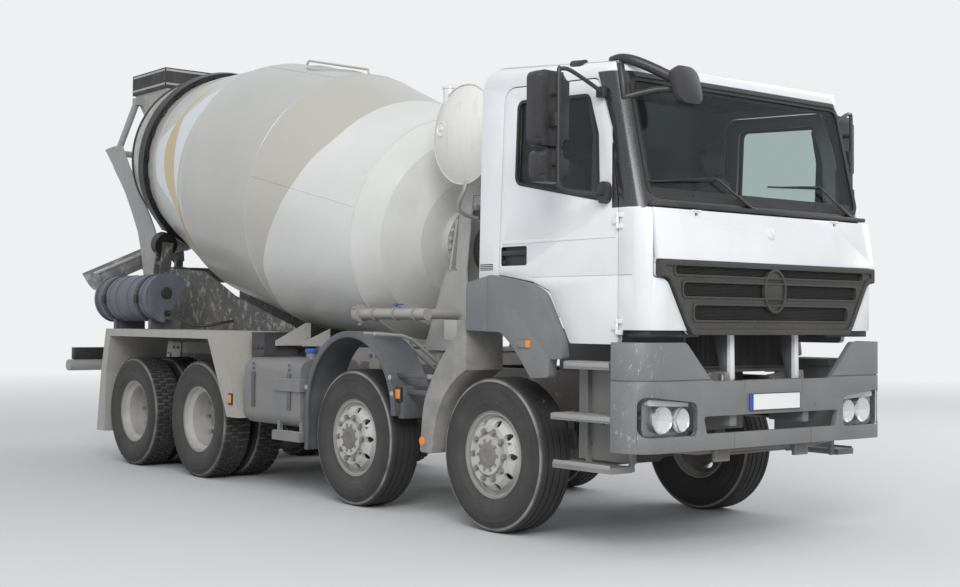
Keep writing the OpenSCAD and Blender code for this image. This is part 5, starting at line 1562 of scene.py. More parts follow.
# Hopper, collar, arms and funnel: folded and rolled steel sheet, grey, thick with cement
# where concrete runs; the collar is a rubber sleeve clamped round the hopper's rim.
hopper_coat = coated("hopper_grey", (0.42, 0.42, 0.395), 0.5, dusty=0.5, bump=0.5, crust=0.75,
                     streaks=0.6, dust_top=5.0, dust_low=2.5)
collar_coat = coated("collar_rubber", (0.018, 0.018, 0.018), 0.6, dusty=0.4, bump=0.3,
                     streaks=0.4, dust_top=5.0, dust_low=3.0)
arm_coat = coated("arm_grey", (0.34, 0.345, 0.35), 0.45, dusty=0.5, bump=0.45, crust=0.5,
                  streaks=0.5, dust_top=4.0, dust_low=1.5)
wear(hopper_coat, "hopper")
wear(collar_coat, "hopper_collar")
wear(arm_coat, "hopper_frame")
shape = bmesh.new()
# Stiffening ribs on the hopper's sides
for sign in (-1, 1):
    for x1, z1, x2, z2 in ((-7.10, 3.90, -6.72, 3.46), (-6.80, 3.90, -6.52, 3.40)):
        add_tube(shape, [at(x1, sign * 0.4215, z1), at(x2, sign * 0.4215, z2)], 0.012, 8)
    # Edge tube along each arm, closed round its plate
    edge = [(-6.64, 1.81), (-6.68, 1.99), (-6.74, 2.20), (-6.82, 2.40), (-6.98, 2.63),
            (-7.15, 2.85), (-7.32, 3.02), (-7.46, 3.15)]
    add_tube(shape, [at(x, sign * 0.561, z) for x, z in edge], 0.013, 10)
    edge = [(-6.31, 1.81), (-6.315, 2.09), (-6.36, 2.26), (-6.44, 2.40), (-6.54, 2.53),
            (-6.64, 2.64), (-6.85, 2.88), (-7.08, 3.12), (-7.28, 3.375), (-7.48, 3.38),
            (-7.69, 3.365)]
    add_tube(shape, [at(x, sign * 0.561, z) for x, z in edge], 0.013, 10)
add_lathe(shape, [(0.440, 0.455), (0.440, 0.4715), (0.455, 0.4735), (0.458, 0.466),
                  (0.455, 0.458)], Matrix.Translation(at(-6.98, 0, 2.445)), 64)
finished("hopper_edges", shape, arm_coat, body_of("hopper_frame"))
shape = bmesh.new()
for z in (3.985, 4.135):
    add_band(shape, rounded_box(-7.2815, -0.4415, -6.4685, 0.4415, 0.02),
             rounded_box(-7.279, -0.439, -6.471, 0.439, 0.018), 0.022,
             board(at(0, 0, z), (1, 0, 0), (0, 1, 0)))
finished("collar_clamps", shape, galvanised, body_of("hopper_collar"))

# Chute: half-round steel trough in its fork, swung on the post; two stiffening rings
# and a flange strip along each edge are welded on, and cement has set in its bed.
chute_coat = coated("chute_steel", (0.19, 0.20, 0.21), 0.45, dusty=0.7, bump=0.45, crust=0.45,
                    streaks=0.5, dust_top=3.0, dust_low=1.0)
chute_trim = coated("chute_edge", (0.44, 0.45, 0.45), 0.4, metal=0.3, dusty=0.6, bump=0.4,
                    crust=0.4)
wear(chute_coat, "chute_arm", "chute")
chute_axes = (Matrix.Translation(at(-6.98, 0, 2.110)) @ Matrix.Rotation(math.radians(-96), 4, "Z")
              @ Matrix.Rotation(math.radians(24), 4, "Y"))


def half_ring(shape, x, wide, outer, inner, steps=24):
    """Half a ring under the trough, from one edge round to the other."""
    loops = []
    for k in range(steps + 1):
        a = math.pi + math.pi * k / steps
        loops.append([shape.verts.new(chute_axes @ Vector(
            (x + dx, r * math.cos(a), 0.262 + r * math.sin(a))))
            for dx, r in ((0, inner), (wide, inner), (wide, outer), (0, outer))])
    skinned(shape, loops)


shape = bmesh.new()
for x in (-0.168, 0.380, 0.962):
    half_ring(shape, x, 0.045, 0.2035, 0.1895)
for sign in (-1, 1):
    block = bmesh.new()
    add_box(block, (-0.169, sign * 0.186, 0.230), (1.009, sign * 0.2045, 0.2625), 0.002)
    join(shape, block, chute_axes)
finished("chute_edges", shape, chute_trim, body_of("chute"))

# Cab: pressed steel shell, white gloss paint, with rounded corners and a domed roof; the
# screen's surround and the pillars ahead of the doors are black. Bonded and welded.
screen_slope = 0.2393
cab_half = 1.150
grille_top = 1.834
flap_half = 1.085


def wall_form(inset):
    """The cab's walls as stacked plans: upright below the screen, leaning above it."""
    shape = bmesh.new()
    r = 0.160 - inset
    half = cab_half - inset
    rings = []
    for z, x in ((1.300, 1.490), (2.150, 1.490), (2.152, 1.409),
                 (3.300, 1.406 - 1.135 * screen_slope)):
        front = front_axle + x - inset
        plan = rounded([(front - 2.6, -half, 0.05), (front, -half, r), (front, half, r),
                        (front - 2.6, half, 0.05)], 8)
        rings.append([shape.verts.new((u, v, z)) for u, v in plan])
    skinned(shape, rings)
    bmesh.ops.recalc_face_normals(shape, faces=shape.faces)
    return shape


def roof_form(inset):
    """The roof's dome, sloping down to the front, with round side edges."""
    half, r = cab_half - inset, 0.105 - inset
    outline = rounded([(-half, -2.6, 0), (half, -2.6, 0), (half, -inset, r), (-half, -inset, r)],
                      7)
    return solid(outline, 2.8, Matrix.Translation(at(0.105, 0, 3.200))
                 @ Matrix.Rotation(math.radians(5.07), 4, "Y")
                 @ board((-0.9, 0, 0), (0, 1, 0), (0, 0, 1)))


def cab_form(outline, inset):
    """A side outline cut to the walls and the roof."""
    form = side_prism(outline, -cab_half - 0.02, cab_half + 0.02)
    form = carved(form, "INTERSECT", wall_form(inset))
    return carved(form, "INTERSECT", roof_form(inset))


shell_line = side_line([
    (-167, 1480, 0), (-134, 3196, 200), (105, 3205, 0), (1184, 3109, 85), (1410, 2165, 0),
    (1441, 2165, 0), (1491, 1845, 0), (1600, 1845, 0), (1600, 1400, 0), (1215, 1400, 0),
    (1215, 1480, 0)])
inner_line = side_line([
    (-122, 1530, 0), (-97, 2845, 0), (-20, 3115, 0), (110, 3158, 0), (1110, 3070, 0),
    (1150, 3040, 0), (1358, 2170, 0), (1392, 1850, 0), (1392, 1530, 0)])
door_hole = side_line([(45, 1760, 24), (104, 3042, 106), (1026, 2998, 66), (1146, 2668, 0),
                       (1213, 2201, 0), (1213, 1302, 34), (764, 1302, 20), (574, 1644, 60),
                       (403, 1705, 60)])
half_grille = [(1092, 1864, 0), (1092, 1723, 15), (1006, 1713, 70), (847, 1430, 40),
               (802, 1360, 40)]
screen_line = front_line([(-1060, 2215, 84), (1060, 2215, 84), (1060, 3000, 84),
                          (-1060, 3000, 84)])
shell = carved(cab_form(shell_line, 0.0), "DIFFERENCE", cab_form(inner_line, 0.045))
shell = carved(
    shell, "DIFFERENCE",
    side_prism(side_line([(1440, 1838, 0), (1406, 2166, 0), (1600, 2166, 0), (1600, 1838, 0)]),
               -flap_half - 0.006, flap_half + 0.006),
    front_prism(front_line(half_grille + mirrored_line(half_grille)), 1.440, 1.640),
    front_prism(screen_line, 1.000, 1.600))
for sign in (-1, 1):
    shell = carved(shell, "DIFFERENCE", side_prism(door_hole, sign * 1.085, sign * 1.170),
                   side_prism(side_line([(764, 1302, 0), (1213, 1302, 0), (1213, 1600, 0),
                                         (600, 1600, 0)]), sign * 1.101, sign * 1.170),
                   box_shape(at(1.205, sign * 1.145, 1.736), at(1.330, sign * 1.170, 1.744)))
tunnel = carved(box_shape(at(-0.122, -0.480, 1.525), at(1.392, 0.480, 1.760)), "DIFFERENCE",
                box_shape(at(-0.200, -0.440, 1.400), at(1.500, 0.440, 1.720)))
join(shell, tunnel)
# Hinges of doors and flap, and the lugs that the cab tilts on
hinge_heights = (1.42, 2.08)
for sign in (-1, 1):
    for z in hinge_heights:
        for z1, z2 in ((-0.050, -0.020), (0.020, 0.050)):
            add_tube(shell, [at(1.213, sign * 1.162, z + z1), at(1.213, sign * 1.162, z + z2)],
                     0.011, 14)
            add_box(shell, at(1.213, sign * 1.145, z + z1), at(1.253, sign * 1.166, z + z2), 0.002)
    add_tube(shell, [at(1.446, sign * 0.66, 2.150), at(1.446, sign * 0.74, 2.150)], 0.004, 10)
    add_box(shell, at(1.400, sign * 0.70 - 0.012, 2.138), at(1.449, sign * 0.70 + 0.012, 2.158),
            0.002)
    lug = side_prism(rounded([(front_axle + 1.352, 1.095, 0), (front_axle + 1.352, 1.057, 0.037),
                              (front_axle + 1.428, 1.057, 0.037), (front_axle + 1.420, 1.41, 0),
                              (front_axle + 1.270, 1.41, 0)]), sign * 0.306, sign * 0.346)
    join(shell, lug)
    add_tube(shell, [at(1.390, y, 1.095) for y in sorted((sign * 0.33, sign * 0.398))], 0.025, 18)


def black_surround(tree, place, split, tone):
    """Black paint round the screen: ahead of the doors, between sill and roof; inside the
    cab the lining's grey."""
    x, z = split.outputs["X"], split.outputs["Z"]
    lower = spread(tree, z, 2.165, 2.668, front_axle + 1.222, front_axle + 1.150)
    upper = spread(tree, z, 2.668, 3.03, front_axle + 1.150, front_axle + 1.018)
    line = combine(tree, "MINIMUM", lower, upper, False)
    ahead = spread(tree, combine(tree, "SUBTRACT", x, line, False), 0.0, 0.003)
    band = combine(tree, "MULTIPLY", spread(tree, z, 2.160, 2.163),
                   spread(tree, z, 3.034, 3.028))
    leaned = combine(tree, "ADD", x, combine(tree, "MULTIPLY", z, screen_slope, False), False)
    screen_sum = front_axle + 1.405 + 2.170 * screen_slope
    ceiling = combine(tree, "ADD", z, combine(tree, "MULTIPLY", x, 0.0887, False), False)
    roof_sum = 3.200 + 0.0887 * (front_axle + 0.105)
    rear_wall = combine(tree, "SUBTRACT", x, combine(tree, "MULTIPLY", z, 0.0192, False), False)
    aside = combine(tree, "ABSOLUTE", split.outputs["Y"], 0, False)
    inside = spread(tree, leaned, screen_sum - 0.025, screen_sum - 0.035)
    for limit in (spread(tree, ceiling, roof_sum - 0.012, roof_sum - 0.018),
                  spread(tree, aside, 1.108, 1.104),
                  spread(tree, rear_wall, front_axle - 0.180, front_axle - 0.170),
                  spread(tree, x, front_axle + 1.400, front_axle + 1.394)):
        inside = combine(tree, "MULTIPLY", inside, limit)
    tone = blend_colour(tree, inside, tone, (0.09, 0.09, 0.095))
    return blend_colour(tree, combine(tree, "MULTIPLY", ahead, band), tone,
                        (0.018, 0.018, 0.020))


cab_coat = coated("cab_white", (0.72, 0.73, 0.74), 0.20, gloss_coat=0.6, dust=(0.42, 0.40, 0.36),
                  dusty=0.14, dust_top=2.4, dust_low=1.2, bump=0.02, streaks=0.06,
                  overlay=black_surround)
wear(cab_coat, "cab_shell", "front_flap", "door_right", "door_left")
shell_piece = finished("cab_body", shell, cab_coat, body_of("cab_shell"), 30)
softened(shell_piece, 0.003)
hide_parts("cab_shell")

# Glass: the laminated screen bonded in a black rubber, the door panes behind their seals
# with a dark quarter bar at the front.
glass_finish = bpy.data.materials.new("glass")
tree, shader, place, split = shader_steps(glass_finish)
shader.inputs["Base Color"].default_value = (0.62, 0.70, 0.68, 1)
shader.inputs["Transmission Weight"].default_value = 1.0
shader.inputs["IOR"].default_value = 1.25
tree.links.new(spread(tree, cloud(tree, place, 4, 8, 0.7), 0.45, 0.75, 0.0, 0.02),
               shader.inputs["Roughness"])
wear(glass_finish, "windscreen", "door_glass_right", "door_glass_left")
rubber_seal = coated("rubber_seal", (0.015, 0.015, 0.015), 0.5, dusty=0.2, bump=0.15)
lean = Vector((-screen_slope, 0, 1)).normalized()


def on_screen(y, z, proud=0.0):
    """A point on the screen's outer plane."""
    return at(1.405 - (z - 2.170) * screen_slope - 0.020 + proud, y, z + proud * screen_slope)


pane = board(on_screen(0, 2.215), (0, 1, 0), lean)
tall = 0.785 * math.hypot(1, screen_slope)


def screen_loop(inset):
    y = 1.0605 - inset
    return rounded_box(-y, inset, y, tall - inset, max(0.085 - inset, 0.02), 7)


shape = bmesh.new()
add_band(shape, screen_loop(0.0), screen_loop(0.030), 0.012, pane)
add_band(shape, screen_loop(0.028), screen_loop(0.062), 0.0015, pane)
cowl = [(-1.03, 0.004), (1.03, 0.004), (1.00, 0.075), (-1.00, 0.075)]
add_plate(shape, cowl, 0.0025, pane)
finished("screen_rubber", shape, rubber_seal, body_of("windscreen"))
shape = bmesh.new()
add_plate(shape, screen_loop(0.012), 0.006, pane @ Matrix.Translation((0, 0, -0.004)))
screen_piece = finished("screen_pane", shape, glass_finish, body_of("windscreen"))
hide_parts("windscreen")
window_table = [(215, 2372, 70), (240, 2940, 60), (945, 2905, 60), (1030, 2640, 0),
                (1045, 2212, 30)]
window_inner = [(237, 2390, 56), (260, 2918, 46), (930, 2884, 46), (1008, 2636, 0),
                (1022, 2238, 22)]
quarter = [(948, 2262, 4), (1020, 2240, 20), (1006, 2634, 0), (934, 2872, 8), (915, 2870, 4),
           (962, 2634, 0)]
quarter_blue = coated("quarter_bar", (0.018, 0.022, 0.034), 0.28, dusty=0.1)
for side, sign in (("right", -1), ("left", 1)):
    body = body_of(f"door_{side}")
    shape = bmesh.new()
    face = board((0, sign * 1.1285, 0), (sign, 0, 0), (0, 0, 1))
    flip = [(sign * u, v) for u, v in side_line(window_table)]
    inner = [(sign * u, v) for u, v in side_line(window_inner)]
    add_band(shape, flip, inner, -0.0235, face)
    finished(f"window_seal_{side}", shape, rubber_seal, body)
    shape = bmesh.new()
    add_plate(shape, [(sign * u, v) for u, v in side_line(quarter)], -0.008, face)
    finished(f"quarter_bar_{side}", shape, quarter_blue, body)

# Doors: double pressed steel with rounded corners, a recessed cup for the handle and a
# swage above it; the skirt below the groove hides the step well.
door_line = side_line([(53, 1768, 20), (112, 3034, 100), (1020, 2990, 60), (1138, 2665, 0),
                       (1205, 2200, 0), (1205, 1310, 30), (770, 1310, 20), (580, 1650, 60),
                       (405, 1713, 60)])
cup_line = side_line([(78, 1825, 16), (342, 1825, 16), (342, 1955, 16), (78, 1955, 16)])
cup_inner = side_line([(82, 1829, 13), (338, 1829, 13), (338, 1951, 13), (82, 1951, 13)])
swage = side_line([(80, 1972, 6), (110, 1996, 8), (1120, 1996, 8), (1190, 1984, 4),
                   (1190, 1978, 2), (380, 1972, 8)])
handle_black = coated("handle_black", (0.022, 0.022, 0.023), 0.4, dusty=0.2, bump=0.1)
for side, sign in (("right", -1), ("left", 1)):
    label = f"door_{side}"
    leaf = carved(side_prism(door_line, sign * 1.105, sign * 1.150), "DIFFERENCE",
                  side_prism(side_line(window_table), sign * 1.080, sign * 1.170),
                  side_prism(cup_line, sign * 1.126, sign * 1.170),
                  box_shape(at(0.390, sign * 1.1455, 1.736), at(1.230, sign * 1.170, 1.744)))
    for z in hinge_heights:
        add_tube(leaf, [at(1.213, sign * 1.162, z - 0.0197), at(1.213, sign * 1.162, z + 0.0197)],
                 0.011, 14)
        add_box(leaf, at(1.168, sign * 1.145, z - 0.0197), at(1.213, sign * 1.166, z + 0.0197), 0.002)
    leaf_piece = finished(f"{label}_leaf", leaf, cab_coat, body_of(label), 30)
    softened(leaf_piece, 0.004)
    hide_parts(label)
    shape = bmesh.new()
    add_plate(shape, [(sign * u, v) for u, v in swage], -0.0045,
              board((0, sign * 1.1497, 0), (sign, 0, 0), (0, 0, 1)))
    swage_piece = finished(f"door_swage_{side}", shape, cab_coat, body_of(label), 20)
    softened(swage_piece, 0.004)
    shape = bmesh.new()
    face = board((0, sign * 1.1262, 0), (sign, 0, 0), (0, 0, 1))
    add_band(shape, [(sign * u, v) for u, v in cup_line], [(sign * u, v) for u, v in cup_inner],
             -0.0245, face)
    add_plate(shape, [(sign * u, v) for u, v in cup_inner], -0.001, face)
    add_box(shape, at(0.080, sign * 1.1365, 1.893), at(0.340, sign * 1.1495, 1.929), 0.005)
    add_lathe(shape, [(0.0, 0.0), (0.0, 0.012), (0.003, 0.011), (0.003, 0.0)],
              outward(sign, 0.110, 1.1490, 1.850), 18)
    finished(f"door_handle_{side}", shape, handle_black, body_of(label))

# Louvres: black plastic strips clipped low on each rear corner of the cab.
shape = bmesh.new()
for sign in (-1, 1):
    for k in range(4):
        z = 1.800 + 0.012 * k
        add_box(shape, at(-0.150, sign * 1.1495, z), at(-0.010, sign * 1.1530, z + 0.006), 0.001)
finished("rear_louvres", shape, handle_black, body_of("cab_shell"))

# Wheel arch cladding: thick grey moulding screwed to the cab, its outer edge broken all
# round; a side repeater is let into the front of each arch.
cladding_coat = coated("cladding_grey", (0.15, 0.158, 0.168), 0.42, dusty=0.45, bump=0.12,
                       dust_top=2.0, dust_low=0.9)
wear(cladding_coat, "arch_cladding")
arch_edge = [(-221, 1385, 20), (-221, 1713, 40), (42, 1765, 90), (400, 1708, 150),
             (568, 1640, 150), (755, 1330, 250), (772, 1206, 20), (655, 1205, 15),
             (640, 1085, 25), (465, 1076, 40), (372, 1185, 0), (270, 1290, 0), (153, 1375, 90)]
shape = bmesh.new()
repeater = bmesh.new()
repeater_clear = bmesh.new()
for sign in (-1, 1):
    arch = side_prism(side_line(arch_edge), sign * 1.1503, sign * 1.2195)
    arch = carved(arch, "DIFFERENCE",
                  box_shape(at(0.008, sign * 1.2165, 1.36), at(0.013, sign * 1.230, 1.78)))
    join(shape, arch)
    add_box(repeater_clear, at(0.335, sign * 1.2190, 1.275), at(0.425, sign * 1.2330, 1.325), 0.006)
    add_box(repeater, at(0.425, sign * 1.2190, 1.275), at(0.470, sign * 1.2330, 1.325), 0.006)
arch_piece = finished("arch_mouldings", shape, cladding_coat, body_of("arch_cladding"), 30)
softened(arch_piece, 0.008)
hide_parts("arch_cladding")
finished("repeater_lenses", repeater, reflector_amber, body_of("arch_cladding"))
finished("repeater_bases", repeater_clear, cladding_coat, body_of("arch_cladding"))

# Front flap: a white pressed panel hinged under the screen, with the maker's place left
# as a plain round boss; the grille hangs on it.
flap = side_prism(side_line([(1424, 2155, 0), (1448, 2155, 0), (1500, 1845, 0), (1502, 1838, 0),
                             (1460, 1838, 0)]), -flap_half, flap_half)
flap = carved(flap, "DIFFERENCE", *[
    box_shape(at(1.400, y - 0.018, 2.120), at(1.470, y + 0.018, 2.180)) for y in (-0.700, 0.700)])
for sign in (-1, 1):
    for near, far in ((0.660, 0.681), (0.719, 0.740)):
        add_tube(flap, [at(1.446, sign * near, 2.150), at(1.446, sign * far, 2.150)], 0.009, 14)


def grille_loop(gap):
    """Outline of the grille, drawn in by the gap."""
    g = -gap * 1000
    side = [(1080 + g, 1834 + g, 15), (1080 + g, 1735 - g, 15), (1000 + g / 2, 1725 - g, 70),
            (835 + g, 1430, 40), (790 + g, 1372 - g, 40)]
    return front_line(side + mirrored_line(side))


carrier = front_prism(grille_loop(0.0), 1.446, 1.462)
carrier = carved(carrier, "DIFFERENCE", front_prism(
    [(-1.0, 1.800), (1.0, 1.800), (0.760, 1.425), (-0.760, 1.425)], 1.40, 1.50))
add_box(carrier, at(1.446, -1.080, 1.814), at(1.462, 1.080, 1.845), 0.001)
boss_place = board(at(1.464, 0, 2.035), (0, 1, 0), (-math.sin(math.radians(9.5)), 0, 1))
add_lathe(flap, [(0.0, 0.0), (0.0, 0.040), (0.010, 0.038), (0.014, 0.030), (0.015, 0.0)],
          boss_place, 36)
join(flap, carrier)
flap_piece = finished("front_panel", flap, cab_coat, body_of("front_flap"), 30)
softened(flap_piece, 0.003)
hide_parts("front_flap")

# Grille: one anthracite moulding with three long mesh windows, a raised border and an
# oval boss in the middle, which is left plain.
grille_coat = coated("grille_anthracite", (0.040, 0.038, 0.034), 0.45, dusty=0.35, bump=0.12)
mesh_coat = coated("grille_mesh", (0.012, 0.012, 0.012), 0.5, dusty=0.3)
windows = [(87, 26, 132), (222, 135, 207), (369, 276, 305)]


def window_loop(low, high, side, gap=0.0):
    """Outline of one mesh window: both edges and the end in mm from the grille's own."""
    y = 1.080 - side / 1000 - gap
    z1, z2 = grille_top - low / 1000 + gap, grille_top - high / 1000 - gap
    return rounded_box(-y, z1, y, z2, 0.026)


def oval_loop(across, upright):
    """Outline of the boss, from its two half widths."""
    return [(across * math.cos(a), 1.658 + upright * math.sin(a))
            for a in [k * math.tau / 56 for k in range(56)]]


face = carved(front_prism(grille_loop(0.0), 1.462, 1.502), "DIFFERENCE",
              *[front_prism(window_loop(*w), 1.44, 1.53) for w in windows])
grille_face = facing(1.5015, 0, 0)
add_band(face, grille_loop(0.0), grille_loop(0.034), 0.010, grille_face)
for w in windows:
    add_band(face, window_loop(*w, -0.013), window_loop(*w, 0.001), 0.006, grille_face)
add_plate(face, oval_loop(0.112, 0.146), 0.036, facing(1.466, 0, 0))
add_band(face, oval_loop(0.112, 0.146), oval_loop(0.094, 0.128), 0.009, facing(1.5021, 0, 0))
for y, z in ((-0.30, 1.57), (0.30, 1.57), (-0.42, 1.72), (0.42, 1.72), (-0.2, 1.43), (0.2, 1.43)):
    add_lathe(face, screw_head(0.009), facing(1.5015, y, z), 12)
grille_piece = finished("grille_moulding", face, grille_coat, body_of("grille"), 30)
softened(grille_piece, 0.003)
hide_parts("grille")
unit = bmesh.new()
for turn in (0.62, -0.62):
    bar = bmesh.new()
    add_box(bar, (-0.0012, -0.0022, -0.0115), (0.0012, 0.0022, 0.0115), 0)
    join(unit, bar, Matrix.Rotation(turn, 4, "X"))
shape = bmesh.new()
for low, high, side in windows:
    y = 1.080 - side / 1000 - 0.004
    z1 = grille_top - low / 1000
    count = int(2 * y / 0.0135)
    rows = int((low - high) / 1000 / 0.0185) + 1
    wire = repeated(row_tree, unit.copy(), mesh_coat, Count=count, Step=(0, 0.0135, 0),
                    Rows=rows, Row_Step=(0, 0, 0.0185))
    add_mesh(shape, wire, Matrix.Translation(at(1.486, -y, z1 + 0.006)))
    # A flat black sheet behind each window's wires: painted shade standing in for the dark space in
    # front of the radiator
    add_box(shape, at(1.468, -y - 0.02, z1 - 0.01), at(1.472, y + 0.02, grille_top - high / 1000
                                                       + 0.01), 0)
unit.free()
finished("grille_wires", shape, mesh_coat, body_of("grille"))

# Cowl, wipers, kerb mirror and roof lamps: black moulded plastic and painted steel,
# screwed to the shell. Each wiper is an arm with its spring and a rubber blade.
trim_coat = coated("trim_black", (0.022, 0.022, 0.024), 0.4, dusty=0.2, bump=0.12,
                   dust_top=3.4, dust_low=1.2)
wear(trim_coat, "cab_trim")
wipers = [((-0.096, 2.176), (-0.430, 2.372), (-1.030, 2.318), (-0.400, 2.366)),
          ((0.960, 2.176), (0.640, 2.387), (0.105, 2.358), (0.670, 2.382))]
shape = bmesh.new()
blades = bmesh.new()
add_box(shape, at(1.392, -1.075, 2.168), at(1.436, 1.075, 2.196), 0.006)
for sign in (-1, 1):
    add_box(shape, at(1.250, sign * 0.640, 1.358), at(1.420, sign * 1.110, 1.400), 0.004)
for foot, joint, near, far in wipers:
    foot3, joint3 = on_screen(*foot, 0.030), on_screen(*joint, 0.034)
    middle = foot3.lerp(joint3, 0.42)
    add_tube(shape, [foot3, middle], 0.0115, 10)
    add_tube(shape, [middle, joint3], 0.0075, 10)
    add_lathe(shape, [(-0.012, 0.0), (-0.012, 0.024), (0.012, 0.022), (0.018, 0.014),
                      (0.018, 0.0)], board(foot3, (0, 1, 0), lean), 20)
    near3, far3 = on_screen(*near, 0.016), on_screen(*far, 0.016)
    add_tube(blades, [near3, far3], 0.006, 8)
    bridge_a, bridge_b = near3.lerp(far3, 0.22), near3.lerp(far3, 0.95)
    lift = Vector((0.018, 0, 0.004))
    add_tube(blades, [bridge_a, bridge_a.lerp(joint3, 0.5) + lift * 0.4, joint3,
                      bridge_b.lerp(joint3, 0.5) + lift * 0.4, bridge_b], 0.0055, 8)
# Kerb mirror: a thick arm from the roof's corner, a strut from the pillar, a round head
kerb_head = at(1.452, -0.806, 2.927)
add_tube(shape, bend([at(1.060, -1.062, 3.105), at(1.150, -1.062, 3.108),
                      at(1.245, -1.012, 3.078), at(1.372, -0.890, 2.996),
                      kerb_head + Vector((-0.015, 0, 0.01))], 5), 0.033, 16)
add_tube(shape, bend([at(1.168, -1.085, 2.850), at(1.200, -1.075, 2.862),
                      at(1.330, -0.930, 2.905), kerb_head + Vector((-0.02, 0, -0.02))], 5),
         0.021, 14)
add_tube(shape, [at(1.150, -1.082, 3.075), at(1.180, -1.088, 2.960), at(1.190, -1.086, 2.845)],
         0.024, 12)
head_place = (Matrix.Translation(kerb_head) @ Matrix.Rotation(math.radians(-15), 4, "Y")
              @ board((-0.022, 0, 0), (0, 1, 0), (0, 0, 1)))
add_plate(shape, plate_outline(0.115, 0.125, 0.075), 0.044, head_place)
# Lamp on the roof's right edge, with its clear lens, and one more on the left
for sign in (-1, 1):
    add_tube(shape, [at(0.730, sign * 1.098, 3.122), at(0.850, sign * 1.098, 3.112)], 0.028, 16)
    add_box(shape, at(0.745, sign * 1.098 - 0.03, 3.085), at(0.835, sign * 1.098 + 0.02, 3.118),
            0.006)
    cap = board(on_screen(sign * -0.62, 2.236, 0.004), (0, 1, 0), lean)
    add_lathe(shape, [(0.0, 0.0), (0.0, 0.030), (0.004, 0.029), (0.004, 0.024), (0.002, 0.022),
                      (0.002, 0.0)], cap, 28)
trim_piece = finished("cab_fittings", shape, trim_coat, body_of("cab_trim"), 34)
softened(trim_piece, 0.004, 60)
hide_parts("cab_trim")
finished("wiper_blades", blades, rubber_seal, body_of("cab_trim"))
mirror_glass = coated("mirror_glass", (0.62, 0.64, 0.66), 0.05, metal=1.0, dusty=0.05, bump=0.0)
shape = bmesh.new()
add_plate(shape, plate_outline(0.098, 0.108, 0.065), 0.002,
          head_place @ Matrix.Translation((0, 0, -0.0022)))
finished("kerb_mirror_glass", shape, mirror_glass, body_of("cab_trim"))

# Door mirrors: two black housings on a bent tube that runs from the roof's edge over the
# heads and back to a foot at the window's lower corner. Glass faces the driver.
mirror_heads = [(0.850, (1.335, 2.540), (1.600, 3.010)), (0.862, (1.345, 2.315), (1.590, 2.515))]
mirror_path = [(1.080, 1.180, 2.895), (1.060, 1.240, 2.935), (1.035, 1.400, 3.010),
               (1.015, 1.462, 3.015), (1.015, 1.480, 2.985), (1.015, 1.480, 2.640),
               (1.015, 1.480, 2.330), (1.020, 1.470, 2.285), (1.045, 1.400, 2.258),
               (1.095, 1.174, 2.250)]
for side, sign in (("right", -1), ("left", 1)):
    label = f"mirror_{side}"
    shape = bmesh.new()
    glass = bmesh.new()
    for x, (y1, z1), (y2, z2) in mirror_heads:
        place = board(at(x, 0, 0), (0, sign, 0), (0, 0, 1))
        head = bmesh.new()
        add_plate(head, rounded_box(y1, z1, y2, z2, 0.050), 0.105 * sign, place)
        rim = [e for e in head.edges if all(v.co.x > front_axle + x + 0.1 for v in e.verts)]
        bmesh.ops.bevel(head, geom=rim, offset=0.046, segments=6, affect="EDGES", profile=0.5)
        join(shape, head)
        loop = rounded_box(y1 + 0.014, z1 + 0.014, y2 - 0.014, z2 - 0.014, 0.03)
        add_plate(glass, loop, 0.002 * sign, place @ Matrix.Translation((0, 0, -0.0021 * sign)))
    add_tube(shape, bend([at(x, sign * y, z) for x, y, z in mirror_path], 4), 0.0135, 12)
    for z in (2.42, 2.70, 2.86):
        add_tube(shape, [at(0.935, sign * 1.470, z), at(1.018, sign * 1.480, z)], 0.015, 10)
    add_box(shape, at(0.945, sign * 1.452, 2.655), at(1.022, sign * 1.508, 2.745), 0.008)
    add_box(shape, at(0.880, sign * 1.420, 2.500), at(0.920, sign * 1.460, 2.560), 0.006)
    foot = side_prism(side_line([(1052, 2190, 45), (1152, 2190, 45), (1152, 2330, 45),
                                 (1052, 2330, 45)]), sign * 1.1505, sign * 1.184)
    join(shape, foot)
    add_box(shape, at(1.040, sign * 1.1505, 2.860), at(1.110, sign * 1.194, 2.930), 0.012)
    piece = finished(f"door_mirror_{side}", shape, trim_coat, body_of(label), 34)
    softened(piece, 0.006, 60)
    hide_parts(label)
    finished(f"mirror_glass_{side}", glass, mirror_glass, body_of(label))

# Interior: cloth seats on steel bases, a moulded dashboard, steering wheel and a dark
# lining. The seats are foam pads sewn in a cover.
inside_coat = coated("interior_dark", (0.045, 0.045, 0.047), 0.7, dusty=0.1, bump=0.25)
seat_cloth = coated("seat_cloth", (0.10, 0.10, 0.11), 0.85, dusty=0.15, bump=0.6, grain=260,
                    patch=9)


def padded_block(low, high, crown):
    """A closed cushion form: crowned faces, edges pulled in between round corners."""
    shape = bmesh.new()
    low, high = Vector(low), Vector(high)
    centre, half = (low + high) / 2, Vector([abs(c) / 2 for c in high - low])
    bmesh.ops.create_cube(shape, size=2)
    bmesh.ops.subdivide_edges(shape, edges=shape.edges, cuts=11, use_grid_fill=True)
    for v in shape.verts:
        u = v.co.copy()
        flat = [1 - abs(c) ** 4 for c in u]
        swell = Vector([
            math.copysign(flat[(i + 1) % 3] * flat[(i + 2) % 3], u[i]) if abs(u[i]) > 0.999
            else 0 for i in range(3)])
        length = u.length
        most = max(abs(c) for c in u)
        ball = u / length * most
        mix = 0.20
        p = u * (1 - mix) + ball * mix
        v.co = centre + Vector([p[i] * (half[i] - crown) for i in range(3)]) + swell * crown
    return shape


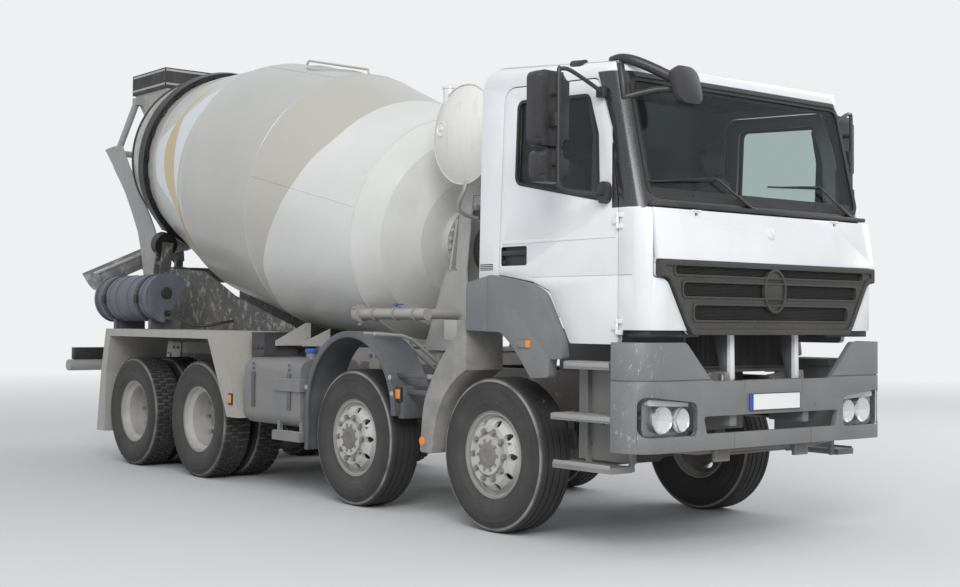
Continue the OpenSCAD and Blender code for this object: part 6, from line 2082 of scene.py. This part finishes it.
for side, sign in (("right", -1), ("left", 1)):
    for name, x1, x2, y1, y2, z1, z2, crown in (
            ("seat_cushion", 0.255, 0.760, 0.525, 1.005, 1.785, 1.940, 0.022),
            ("seat_back", 0.205, 0.330, 0.545, 0.985, 1.900, 2.560, 0.022),
            ("head_rest", 0.218, 0.308, 0.645, 0.885, 2.575, 2.755, 0.014)):
        pad = padded_block(at(x1, sign * y1, z1), at(x2, sign * y2, z2), crown)
        piece = finished(f"{name}_{side}", pad, seat_cloth, body_of("cab_interior"), 80)
        if (name, side) == ("seat_cushion", "right"):
            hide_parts("cab_interior")
shape = bmesh.new()
for sign in (-1, 1):
    add_box(shape, at(0.330, sign * 0.60, 1.530), at(0.700, sign * 0.93, 1.780), 0.03)
    for dy in (-0.06, 0.06):
        add_tube(shape, [at(0.265, sign * 0.765 + dy, 2.53), at(0.265, sign * 0.765 + dy, 2.60)],
                 0.007, 8)
dash = carved(side_prism(side_line([(1090, 1990, 30), (1095, 2150, 50), (1180, 2190, 40),
                                    (1325, 2178, 10), (1335, 1770, 0), (1200, 1770, 20),
                                    (1200, 1980, 20)]), -1.050, 1.050), "DIFFERENCE",
              box_shape(at(1.05, -0.22, 2.02), at(1.12, 0.22, 2.14), 0.02))
join(shape, dash)
wheel = Matrix.Translation(at(0.980, 0.720, 2.180)) @ Matrix.Rotation(math.radians(35), 4, "Y")
ring = [wheel @ Vector((0.205 * math.cos(a), 0.205 * math.sin(a), 0))
        for a in [k * math.tau / 40 for k in range(41)]]
add_tube(shape, ring, 0.0155, 10)
for a in (0.35, math.pi - 0.35, math.pi * 1.5):
    add_tube(shape, [wheel @ Vector((0.02 * math.cos(a), 0.02 * math.sin(a), -0.02)),
                     wheel @ Vector((0.2 * math.cos(a), 0.2 * math.sin(a), 0))], 0.012, 8)
add_lathe(shape, [(-0.035, 0.0), (-0.035, 0.055), (-0.010, 0.070), (0.0, 0.050), (0.004, 0.0)],
          wheel, 28)
add_tube(shape, [at(0.985, 0.720, 2.160), at(1.130, 0.720, 1.990)], 0.030, 14)
finished("cab_lining", shape, inside_coat, body_of("cab_interior"))
